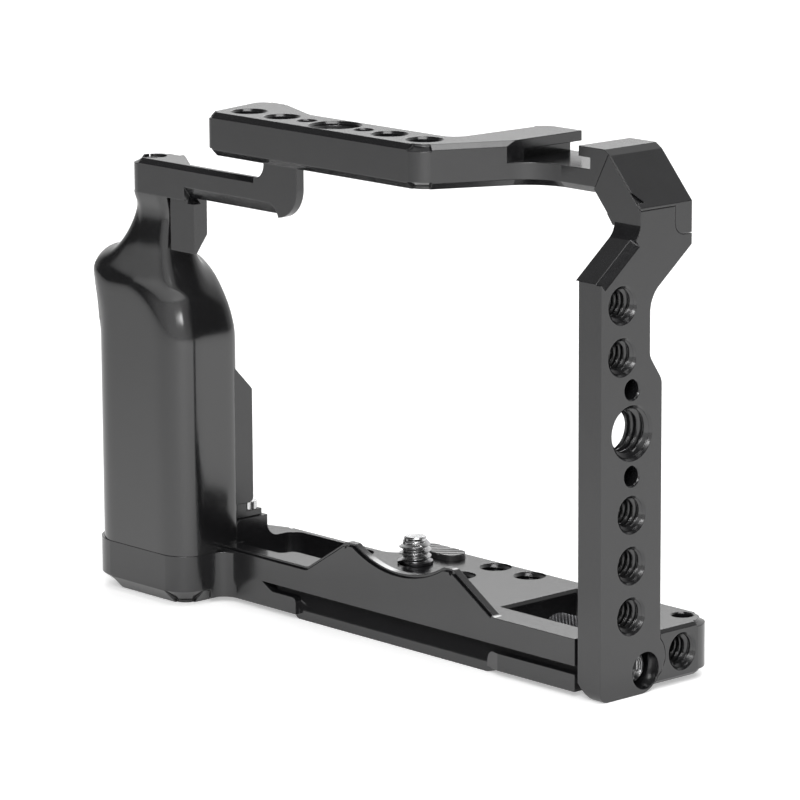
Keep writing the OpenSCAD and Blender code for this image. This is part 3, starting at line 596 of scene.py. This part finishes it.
@dataclass
class ThreadedHoles:
    """Turns of thread in every tapped hole that the record names as a mount."""

    pitches: dict[float, float] = field(default_factory=lambda: {3.175: 1.27, 4.7625: 1.5875})
    nodes: dict[str, str] = field(default_factory=lambda: {"arm": "side_arm", "bar": "top_plate",
                                                           "bas": "base_plate", "end": "base_plate"})
    mouth: float = 0.45
    plate_under: float = 1.05
    smooth_angle: float = 35.0

    def build(self) -> None:
        """Builds one thread in each tapped hole."""
        for mount in frame["record"]["mounts"]:
            if mount["kind"] != "threaded_hole":
                continue
            radius, length = mount["dims"]["r_mm"], mount["dims"]["length_mm"]
            thread = Thread(radius, self.pitches[radius], -length / 2, length / 2, Cut.INSIDE)
            place = axis_frame(self.middle(mount, length), mount["axis"])
            make_piece("thread_" + mount["name"], thread.form().placed(place), Slot.ALLOY, Body.CAGE,
                       self.smooth_angle)

    def middle(self, mount: dict, length: float) -> Vector:
        """Finds the middle of a tapped wall.

        Args:
            mount: The record's mount.
            length: The wall's length.

        Returns:
            The middle point, found from the face of the node that the hole is in.
        """
        high = Vector(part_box(self.nodes[mount["name"][:3]])[1]) / MM
        centre = Vector(mount["pos_m"]) / MM
        if mount["axis"][0] == 1:
            centre.x = high.x - self.mouth - length / 2
        elif mount["name"].startswith("bar"):
            centre.z = high.z - self.mouth - length / 2
        else:
            centre.z = self.plate_under + length / 2
        return centre


@dataclass
class GrooveWall:
    """The back of the groove under the base's front lip, which leans back towards its top."""

    left: float = -26.2
    right: float = 61.2
    low: float = 1.9
    high: float = 6.03
    near: float = -8.47
    far: float = -7.25
    behind: float = 0.3
    ease_y: float = 0.04
    ease_low: float = 0.1
    ease_high: float = 0.06
    spans: int = 24
    smooth_angle: float = 20.0

    def build(self) -> None:
        """Builds the leaning wall along the groove."""
        back = self.far + self.behind
        corners = ((self.near, self.low), (self.near + self.ease_y, self.low + self.ease_low),
                   (self.far - self.ease_y, self.high - self.ease_high), (self.far, self.high),
                   (back, self.high), (back, self.low))
        rings = [[Vector((self.left + (self.right - self.left) * i / self.spans, y, z)) for y, z in corners]
                 for i in range(self.spans + 1)]
        make_piece("groove_wall", Form().skin(rings), Slot.ALLOY, Body.CAGE, self.smooth_angle)


@dataclass
class HandGrip:
    """The moulded grip: a board with round shoulders that runs up through a hollow blend into its neck.

    Distance functions of the board and the neck are joined by a smooth minimum, and rays from the middle of each
    level find the surface. A name in _at or _run says where a change starts and over what length it is made.
    """

    rear: float = -5.4
    rear_at: float = 0.3
    rear_run: float = 0.9
    rear_end: float = 54.0
    rear_end_run: float = 10.0
    top: float = 69.0
    shoulder_r: float = 17.0
    outer_r: float = 5.0
    left_r: float = 10.5
    right_r: float = 5.5
    back_r: float = 1.2
    top_r: float = 7.0
    top_run: float = 12.0
    top_share: float = 1.25
    core_y: float = -8.0
    neck_low: tuple[float, float] = (-54.0, -19.7)
    neck_high: tuple[float, float] = (-42.5, -11.3)
    neck_r: float = 4.1
    neck_edge_r: float = 1.9
    neck_edge_at: float = 4.0
    neck_edge_run: float = 4.0
    neck_foot: float = 4.0
    waist: float = 1.1
    waist_over: float = 0.4
    waist_run: float = 4.0
    flare: float = 0.9
    flare_at: float = 3.1
    flare_run: float = 8.0
    blend_left: float = 14.0
    blend_right: float = 8.0
    blend_front: float = 7.0
    blend_front_run: float = 1.2
    blend_side_run: float = 3.0
    left_share: float = 1.3
    front_at: float = 0.3
    front_run: float = 0.6
    tiny: float = 0.01
    core_rise: float = 10.0
    skin: float = 0.05
    sides: int = 192
    levels: int = 170
    bunch_four: float = 9.0
    bunch_two: float = 6.0
    ray: float = 32.0
    halvings: int = 26
    fine_levels: int = 5000
    fine_sides: int = 24
    slope_step: float = 0.02
    ease: int = 6

    def __post_init__(self) -> None:
        """Takes the grip's outer faces from its solid."""
        low, high = (Vector(corner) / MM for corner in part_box("hand_grip"))
        self.left, self.front, self.low = low
        self.right, self.foot_rear, self.high = high
        self.right += self.skin

    @staticmethod
    def smooth(t: np.ndarray) -> np.ndarray:
        """Returns a smooth step from 0 to 1."""
        t = np.clip(t, 0.0, 1.0)
        return t * t * (3.0 - 2.0 * t)

    @staticmethod
    def rounded(qx: np.ndarray, qy: np.ndarray, radius: np.ndarray | float) -> np.ndarray:
        """Joins two distances from faces with a round edge of the given radius."""
        return np.minimum(np.maximum(qx, qy), 0.0) + np.hypot(np.maximum(qx, 0.0), np.maximum(qy, 0.0)) - radius

    def board(self, x: np.ndarray, y: np.ndarray, z: np.ndarray) -> np.ndarray:
        """Measures the board with its round shoulders and front edges.

        Args:
            x, y, z: The points' coordinates.

        Returns:
            The points' distances from the board.
        """
        side = np.where(x > (self.left + self.right) / 2, self.shoulder_r, self.outer_r)
        top = self.rounded(np.maximum(self.left + side - x, x - self.right + side), z - self.top + side, side)
        ahead = y < self.core_y
        across = np.clip((x - self.left) / (self.right - self.left), 0, 1)
        foot_r = self.left_r + (self.right_r - self.left_r) * across
        near_top = self.smooth((z - self.top + self.top_share * self.top_run) / self.top_run)
        edge = np.where(ahead, foot_r + (self.top_r - foot_r) * near_top, self.back_r)
        out = self.smooth((z - self.low - self.rear_at) / self.rear_run)
        out = out * (1.0 - self.smooth((z - self.rear_end) / self.rear_end_run))
        rear = self.foot_rear + (self.rear - self.foot_rear) * out
        half = np.where(ahead, self.core_y - self.front, rear - self.core_y)
        return self.rounded(top + edge, np.abs(y - self.core_y) - half + edge, edge)

    def neck(self, x: np.ndarray, y: np.ndarray, z: np.ndarray) -> np.ndarray:
        """Measures the neck, whose front has a waist and comes forward again below it.

        Args:
            x, y, z: The points' coordinates.

        Returns:
            The points' distances from the neck.
        """
        back = self.waist * self.smooth((self.high + self.waist_over - z) / self.waist_run)
        back = back - self.flare * self.smooth((self.high - self.flare_at - z) / self.flare_run)
        across = self.smooth((x - self.neck_low[0] - self.neck_edge_at) / self.neck_edge_run)
        r = self.neck_r + (self.neck_edge_r - self.neck_r) * across
        wide = np.maximum(self.neck_low[0] + r - x, x - self.neck_high[0] + r)
        deep = np.maximum(self.neck_low[1] + back + r - y, y - self.neck_high[1] + r)
        return np.maximum(self.rounded(wide, deep, r), self.top - self.neck_foot - z)

    def gap(self, x: np.ndarray, y: np.ndarray, z: np.ndarray) -> np.ndarray:
        """Measures both, joined by a blend that is wide on the left and tight in front.

        Args:
            x, y, z: The points' coordinates.

        Returns:
            The points' distances from the grip.
        """
        a, b = self.board(x, y, z), self.neck(x, y, z)
        ux = x - (self.neck_low[0] + self.neck_high[0]) / 2
        uy = y - (self.neck_low[1] + self.neck_high[1]) / 2
        reach = np.hypot(ux, uy) + self.tiny
        k = self.blend_right + (self.blend_left - self.blend_right) * self.smooth(-self.left_share * ux / reach)
        k = k + (self.blend_front - k) * self.smooth((-uy / reach - self.front_at) / self.front_run)
        # The blend dies out at the front and left faces, so that they stay flat
        k = self.tiny + k * self.smooth((y - self.front) / self.blend_front_run) * self.smooth(
            (x - self.left) / self.blend_side_run)
        h = np.maximum(k - np.abs(a - b), 0.0) / k
        return np.minimum(a, b) - h * h * k / 4.0

    def rings(self, z: np.ndarray, sides: int) -> tuple[np.ndarray, np.ndarray]:
        """Finds the surface at some levels.

        Args:
            z: The levels' heights.
            sides: Points round each level.

        Returns:
            The x and y coordinates, one row for each level.
        """
        step = self.smooth((z - self.top + self.core_rise) / self.core_rise)[:, None]
        board_mid = ((self.left + self.right) / 2, (self.front + self.foot_rear) / 2)
        neck_mid = ((self.neck_low[0] + self.neck_high[0]) / 2, (self.neck_low[1] + self.neck_high[1]) / 2)
        core_x, core_y = (a + (b - a) * step for a, b in zip(board_mid, neck_mid))
        a = np.arange(sides) * TURN / sides
        four, two = self.bunch_four * np.sin(4 * a) / 4, self.bunch_two * np.sin(2 * a)
        a = (a - np.radians(four) + np.radians(two))[None, :]
        low = np.zeros((len(z), sides))
        high = np.full((len(z), sides), self.ray)
        for _ in range(self.halvings):
            middle = (low + high) / 2
            inside = self.gap(core_x + middle * np.cos(a), core_y + middle * np.sin(a),
                              np.broadcast_to(z[:, None], middle.shape)) < 0
            low, high = np.where(inside, middle, low), np.where(inside, high, middle)
        return core_x + low * np.cos(a), core_y + low * np.sin(a)

    def heights(self) -> np.ndarray:
        """Spaces the levels evenly along the surface, where it moves the most.

        Returns:
            The levels' heights.
        """
        fine = np.linspace(self.low, self.high, self.fine_levels)
        x, y = self.rings(fine, self.fine_sides)
        step = np.sqrt(np.diff(x, axis=0) ** 2 + np.diff(y, axis=0) ** 2 + np.diff(fine)[:, None] ** 2)
        run = np.concatenate([[0.0], np.cumsum(step.max(axis=1))])
        return np.interp(np.linspace(0.0, run[-1], self.levels), run, fine)

    def build(self) -> None:
        """Skins the levels, with normals from the distance's slope."""
        z = self.heights()
        x, y = self.rings(z, self.sides)
        height = np.broadcast_to(z[:, None], x.shape)
        rings = [[Vector(p) for p in zip(*row)] for row in zip(x, y, height)]
        d = self.slope_step
        slope = np.stack([self.gap(x + d, y, height) - self.gap(x - d, y, height),
                          self.gap(x, y + d, height) - self.gap(x, y - d, height),
                          self.gap(x, y, height + d) - self.gap(x, y, height - d)], axis=-1)
        slope /= np.linalg.norm(slope, axis=-1, keepdims=True)
        # The highlights run smoothly over the places where two round edges meet
        for _ in range(self.ease):
            padded = np.concatenate([slope[:1], slope, slope[-1:]])
            slope = (2 * slope + padded[:-2] + padded[2:]) / 4
            slope = (2 * slope + np.roll(slope, 1, axis=1) + np.roll(slope, -1, axis=1)) / 4
        slope /= np.linalg.norm(slope, axis=-1, keepdims=True)
        slope = slope.reshape(-1, 3)
        shell = Form().skin(rings, lids=False)
        lids = Form([Vector(p) for p in rings[0]] + [Vector(p) for p in rings[-1]],
                    [tuple(reversed(range(self.sides))), tuple(range(self.sides, 2 * self.sides))])
        grip = make_piece("grip_shell", shell, Slot.GRIP, Body.CAGE, normals=slope)
        ends = make_piece("grip_shell_ends", lids, Slot.GRIP, Body.CAGE)
        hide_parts("hand_grip")
        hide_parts("hand_grip")


@dataclass
class CaptiveScrew:
    """The camera screw: a coin-slotted head, a relieved shank and a threaded tip."""

    head_low: float = 0.4
    head_h: float = 2.6
    slot_w: float = 1.6
    slot_deep: float = 1.5
    head_edge: float = 0.3
    half_steps: int = 40
    relief_r: float = 2.45
    thread_r: float = 3.17
    thread_low: float = 11.8
    thread_over: float = 0.25
    pitch: float = 1.27
    point_r: float = 2.2
    point_h: float = 1.0
    point_edge: float = 0.3
    step: float = 0.2
    lap: float = 0.01
    smooth_angle: float = 32.0

    def build(self) -> None:
        """Builds the screw in place of its solid."""
        low, high = (Vector(corner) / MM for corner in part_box("camera_screw"))
        centre = (low + high) / 2
        head_r, tip = (high.x - low.x) / 2, high.z
        root = self.head_low + self.slot_deep
        top = self.head_low + self.head_h
        # Two halves beside the slot, and the round head over it
        half = math.degrees(math.asin(self.slot_w / 2 / head_r))
        form = Form()
        for start in (half, 180 + half):
            outline = arc((0, 0), head_r, start, start + 180 - 2 * half, self.half_steps)
            form.slab(outline, self.head_low, root + self.lap)
        head = turned([(head_r, root), (head_r, top - self.head_edge), (head_r - self.head_edge, top),
                       (self.relief_r, top), (self.relief_r, self.thread_low),
                       (self.relief_r - self.step, self.thread_low)])
        bare = tip - self.point_h
        spiral = Thread(self.thread_r, self.pitch, self.thread_low, bare + self.thread_over, Cut.OUTSIDE).form()
        point = turned([(self.point_r - self.step, self.thread_low), (self.point_r + self.step, self.thread_low),
                        (self.point_r + self.step, bare), (self.point_r, bare + self.step),
                        (self.point_r, tip - self.point_edge), (self.point_r - self.point_edge, tip)])
        for part in (head, spiral, point):
            form.add(part.points, part.faces)
        place = Matrix.Translation(Vector((centre.x, centre.y, 0.0)))
        screw = make_piece("captive_screw", form.placed(place), Slot.BRIGHT, Body.TIE_SCREW, self.smooth_angle)
        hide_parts("camera_screw")


@dataclass
class RubberPad:
    """The pad beside the screw, with ribs that run across it at an angle."""

    turn: float = 42.0
    rib_pitch: float = 1.75
    groove: float = 0.42
    groove_deep: float = 0.35
    rib_edge: float = 0.12
    rib_lap: float = 0.05
    end_steps: int = 24
    smooth_angle: float = 30.0

    def build(self) -> None:
        """Builds the pad and its ribs in place of the solid."""
        low, high = (Vector(corner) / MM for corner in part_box("rubber_pad"))
        r = (high.y - low.y) / 2
        half = (high.x - low.x) / 2 - r
        outline = arc((half, 0), r, -90, 90, self.end_steps) + arc((-half, 0), r, 90, 270, self.end_steps)
        across = Vector((-math.sin(math.radians(self.turn)), math.cos(math.radians(self.turn))))
        form = Form().slab(outline, low.z, high.z - self.groove_deep)
        count = math.ceil((half + r) / self.rib_pitch) + 1
        for i in range(-count, count + 1):
            near = i * self.rib_pitch + self.groove / 2
            rib = clipped(clipped(outline, across, near + self.rib_pitch - self.groove), -across, -near)
            if len(rib) > 2:
                form.slab(rib, high.z - self.groove_deep - self.rib_lap, high.z, self.rib_edge)
        place = Matrix.Translation(Vector(((low.x + high.x) / 2, (low.y + high.y) / 2, 0.0)))
        pad = make_piece("ribbed_pad", form.placed(place), Slot.RUBBER, Body.CAGE, self.smooth_angle)
        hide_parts("rubber_pad")


@dataclass
class KnurledKnob:
    """The stored driver's knob with a diamond knurl."""

    teeth: int = 34
    depth: float = 0.28
    bore_r: float = 1.5
    crest: float = 1.35
    end_run: float = 0.5
    end_drop: float = 0.45
    tooth_sides: int = 10
    rows: int = 44
    smooth_angle: float = 40.0

    def build(self) -> None:
        """Builds the knob in place of its solid."""
        low, high = (Vector(corner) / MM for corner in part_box("driver_knob"))
        length, r = high.x - low.x, (high.z - low.z) / 2
        centre = Vector((low.x, (low.y + high.y) / 2, (low.z + high.z) / 2))
        sides, rows = self.teeth * self.tooth_sides, self.rows
        rings = [[Vector((self.bore_r * math.cos(TURN * i / sides), self.bore_r * math.sin(TURN * i / sides), 0.0))
                  for i in range(sides)]]
        for row in range(rows + 1):
            z = length * row / rows
            ease = min(1.0, z / self.end_run, (length - z) / self.end_run)
            ring = []
            for i in range(sides):
                angle = TURN * i / sides
                twist = self.teeth * z / r / 2
                up = abs(math.sin(self.teeth * angle / 2 + twist))
                down = abs(math.sin(self.teeth * angle / 2 - twist))
                groove = self.depth * (1.0 - min(1.0, self.crest * min(up, down)))
                reach = r - self.end_drop * (1.0 - ease) - groove * ease
                ring.append(Vector((reach * math.cos(angle), reach * math.sin(angle), z)))
            rings.append(ring)
        place = axis_frame(centre, (1, 0, 0))
        knob = make_piece("knurled_knob", Form().skin(rings).placed(place), Slot.DARK, Body.DRIVER,
                          self.smooth_angle)
        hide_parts("driver_knob")


@dataclass
class FootScrew:
    """The screw of the arm's foot, with a stepped bright head and a hexagon socket."""

    head_r: float = 3.0
    head_h: float = 2.0
    head_edge: tuple[float, float] = (0.35, 0.1)
    shank_r: float = 2.0
    shank_edge: float = 0.4
    rim_r: float = 2.25
    recess_r: float = 2.05
    recess_deep: float = 0.3
    socket_r: float = 1.4
    socket_step: float = 0.1
    socket_floor_r: float = 1.25
    socket_deep: float = 1.4
    mouth_deep: tuple[float, float] = (0.34, 0.42)
    smooth_angle: float = 30.0

    def build(self) -> None:
        """Builds the screw in place of its solid."""
        low, high = (Vector(corner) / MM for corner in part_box("arm_lower_screw"))
        length = high.x - low.x
        neck = length - self.head_h
        wide, slim = self.head_edge
        upper, lower = self.mouth_deep
        form = turned([(self.shank_r - self.shank_edge, 0.0), (self.shank_r, self.shank_edge),
                       (self.shank_r, neck), (self.head_r, neck), (self.head_r, length - wide),
                       (self.head_r - slim, length - slim), (self.head_r - wide, length),
                       (self.rim_r, length), (self.recess_r, length - self.recess_deep),
                       (self.socket_r, length - upper, 1), (self.socket_r - self.socket_step, length - lower, 1),
                       (self.socket_floor_r, length - self.socket_deep, 1)])
        place = axis_frame((low.x, (low.y + high.y) / 2, (low.z + high.z) / 2), (1, 0, 0))
        screw = make_piece("foot_screw", form.placed(place), Slot.BRIGHT, Body.CAGE, self.smooth_angle)
        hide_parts("arm_lower_screw")


class Dressing:
    """Finishes of the solids that stay as they are."""

    def build(self) -> None:
        """Puts each node's finish on its slots."""
        slots = {part["node"]: Slot(part["material_slot"]) for part in frame["record"]["subparts"]}
        for name, obj in frame["nodes"].items():
            finish = FINISHES[slots[name]]
            if not obj.material_slots:
                obj.data.materials.append(finish)
            for place in obj.material_slots:
                place.material = finish
            LOG.info("%s: %s", name, finish.name)


@dataclass(frozen=True)
class Lamp:
    """A square panel lamp: its name, place, side in metres and power in watts."""

    name: str
    at: Vector
    side: float
    power: float


@dataclass
class Studio:
    """The camera, the lamps, the pale floor and the white room."""

    lens_mm: float = 207.0
    sensor_mm: float = 36.0
    clip: tuple[float, float] = (0.05, 30.0)
    eye: tuple[float, float, float] = (0.64053, -0.57924, 0.22767)
    azimuth: float = 47.7
    down: float = 11.95
    roll: float = -0.30
    lamps: tuple[Lamp, ...] = (Lamp("key_lamp", Vector((0.85, -0.95, 0.95)), 0.7, 13.0),
                               Lamp("top_lamp", Vector((0.4, 0.0, 1.5)), 0.75, 7.0),
                               Lamp("back_lamp", Vector((-0.9, 0.9, 0.8)), 0.6, 5.0))
    aim: Vector = field(default_factory=lambda: Vector((0.0, 0.0, 0.05)))
    floor_size: float = 6.0
    floor_shade: float = 0.92
    floor_roughness: float = 0.6
    floor_glow: float = 0.42
    floor_bright: float = 0.3
    floor_bright_at: tuple[float, float, float] = (0.72, 0.69, 0.0)
    floor_bright_run: tuple[float, float] = (-0.3, 0.1)
    room_light: float = 0.35
    backdrop_at: tuple[float, float, float] = (-0.5, 0.866, 0.0)
    room_shades: tuple[tuple[float, float], ...] = ((-1.0, 0.8), (-0.65, 0.5), (-0.35, 0.06), (0.2, 0.05),
                                                    (0.5, 0.4), (0.85, 0.82))

    def camera(self) -> None:
        """Puts the camera at the photograph's angle."""
        yaw, pitch, roll = (math.radians(a) for a in (self.azimuth, self.down, self.roll))
        ahead = Vector((-math.sin(yaw) * math.cos(pitch), math.cos(yaw) * math.cos(pitch), -math.sin(pitch)))
        level = Vector((math.cos(yaw), math.sin(yaw), 0.0))
        upright = level.cross(ahead)
        right = level * math.cos(roll) + upright * math.sin(roll)
        up = upright * math.cos(roll) - level * math.sin(roll)
        data = bpy.data.cameras.new("camera")
        data.lens = self.lens_mm
        data.sensor_width = self.sensor_mm
        data.clip_start, data.clip_end = self.clip
        camera = bpy.data.objects.new("camera", data)
        turn = Matrix((right, up, -ahead)).transposed().to_4x4()
        camera.matrix_world = Matrix.Translation(Vector(self.eye)) @ turn
        bpy.context.scene.collection.objects.link(camera)
        bpy.context.scene.camera = camera

    def light(self, lamp: Lamp) -> None:
        """Adds a soft panel lamp that points at the middle of the cage.

        Args:
            lamp: The lamp.
        """
        data = bpy.data.lights.new(lamp.name, "AREA")
        data.shape = "RECTANGLE"
        data.size, data.size_y = lamp.side, lamp.side
        data.energy = lamp.power
        panel = bpy.data.objects.new(lamp.name, data)
        panel.location = lamp.at
        panel.rotation_euler = (lamp.at - self.aim).to_track_quat("Z", "Y").to_euler()
        bpy.context.scene.collection.objects.link(panel)

    def world(self) -> None:
        """Makes the room: a white backdrop to the camera, and darker above the floor on the left."""
        world = bpy.data.worlds.new("white_room")
        bpy.context.scene.world = world
        world.use_nodes = True
        tree = world.node_tree
        back = tree.nodes["Background"]
        path = tree.nodes.new("ShaderNodeLightPath")
        clear = tree.nodes.new("ShaderNodeMath")
        clear.operation = "MAXIMUM"
        tree.links.new(path.outputs["Is Camera Ray"], clear.inputs[0])
        tree.links.new(path.outputs["Is Transmission Ray"], clear.inputs[1])
        level = tree.nodes.new("ShaderNodeMapRange")
        level.inputs["To Min"].default_value = self.room_light
        level.inputs["To Max"].default_value = 1.0
        tree.links.new(clear.outputs[0], level.inputs["Value"])
        # What the gloss shows of the room turns with the direction towards the backdrop
        where = tree.nodes.new("ShaderNodeTexCoord")
        along = tree.nodes.new("ShaderNodeVectorMath")
        along.operation = "DOT_PRODUCT"
        along.inputs[1].default_value = self.backdrop_at
        tree.links.new(where.outputs["Generated"], along.inputs[0])
        share = tree.nodes.new("ShaderNodeMapRange")
        share.inputs["From Min"].default_value = -1.0
        tree.links.new(along.outputs["Value"], share.inputs["Value"])
        ramp = tree.nodes.new("ShaderNodeValToRGB")
        ramp.color_ramp.interpolation = "EASE"
        stops = ramp.color_ramp.elements
        while len(stops) < len(self.room_shades):
            stops.new(0.5)
        for stop, (place, shade) in zip(stops, self.room_shades):
            stop.position = (place + 1.0) / 2.0
            stop.color = (shade, shade, shade, 1.0)
        tree.links.new(share.outputs["Result"], ramp.inputs["Fac"])
        gloss = tree.nodes.new("ShaderNodeMix")
        tree.links.new(path.outputs["Is Glossy Ray"], gloss.inputs["Factor"])
        tree.links.new(level.outputs["Result"], gloss.inputs["A"])
        tree.links.new(ramp.outputs["Color"], gloss.inputs["B"])
        tree.links.new(gloss.outputs["Result"], back.inputs["Strength"])
        back.inputs["Color"].default_value = (1.0, 1.0, 1.0, 1.0)

    def floor(self) -> None:
        """Lays the pale floor, white to the camera."""
        mesh = bpy.data.meshes.new("pale_floor")
        half = self.floor_size / 2
        corners = [(-half, -half, 0), (half, -half, 0), (half, half, 0), (-half, half, 0)]
        mesh.from_pydata(corners, [], [(0, 1, 2, 3)])
        floor = bpy.data.objects.new("pale_floor", mesh)
        bpy.context.scene.collection.objects.link(floor)
        bench = NodeBench("pale_floor")
        bench.shader.inputs["Base Color"].default_value = (*[self.floor_shade] * 3, 1.0)
        bench.shader.inputs["Roughness"].default_value = self.floor_roughness
        path = bench.add("ShaderNodeLightPath")
        # The gloss sees the floor a little brighter towards the backdrop's right
        along = bench.add("ShaderNodeVectorMath", operation="DOT_PRODUCT")
        along.inputs[1].default_value = self.floor_bright_at
        bench.link(bench.position(), along.inputs[0])
        glow = bench.add("ShaderNodeMapRange")
        glow.inputs["From Min"].default_value, glow.inputs["From Max"].default_value = self.floor_bright_run
        glow.inputs["To Max"].default_value = self.floor_bright
        bench.link(along.outputs["Value"], glow.inputs["Value"])
        gloss = bench.add("ShaderNodeMath", operation="MULTIPLY")
        bench.link(path.outputs["Is Glossy Ray"], gloss.inputs[0])
        bench.link(glow.outputs["Result"], gloss.inputs[1])
        level = bench.add("ShaderNodeMath", operation="MULTIPLY_ADD")
        level.inputs[1].default_value = self.floor_glow
        bench.link(path.outputs["Is Camera Ray"], level.inputs[0])
        bench.link(gloss.outputs[0], level.inputs[2])
        bench.shader.inputs["Emission Color"].default_value = (1.0, 1.0, 1.0, 1.0)
        bench.link(level.outputs[0], bench.shader.inputs["Emission Strength"])
        mesh.materials.append(bench.material)

    def build(self) -> None:
        """Builds the studio."""
        bpy.context.scene.view_settings.view_transform = "Standard"
        self.camera()
        self.world()
        self.floor()
        for lamp in self.lamps:
            self.light(lamp)


def main() -> None:
    """Builds the cage's pieces and the studio in order."""
    logging.basicConfig(level=logging.INFO, format="%(name)s: %(message)s")
    for part in (Studio(), Dressing(), ThreadedHoles(), GrooveWall(), HandGrip(), CaptiveScrew(), RubberPad(),
                 KnurledKnob(), FootScrew()):
        part.build()


if __name__ == "__main__":
    main()
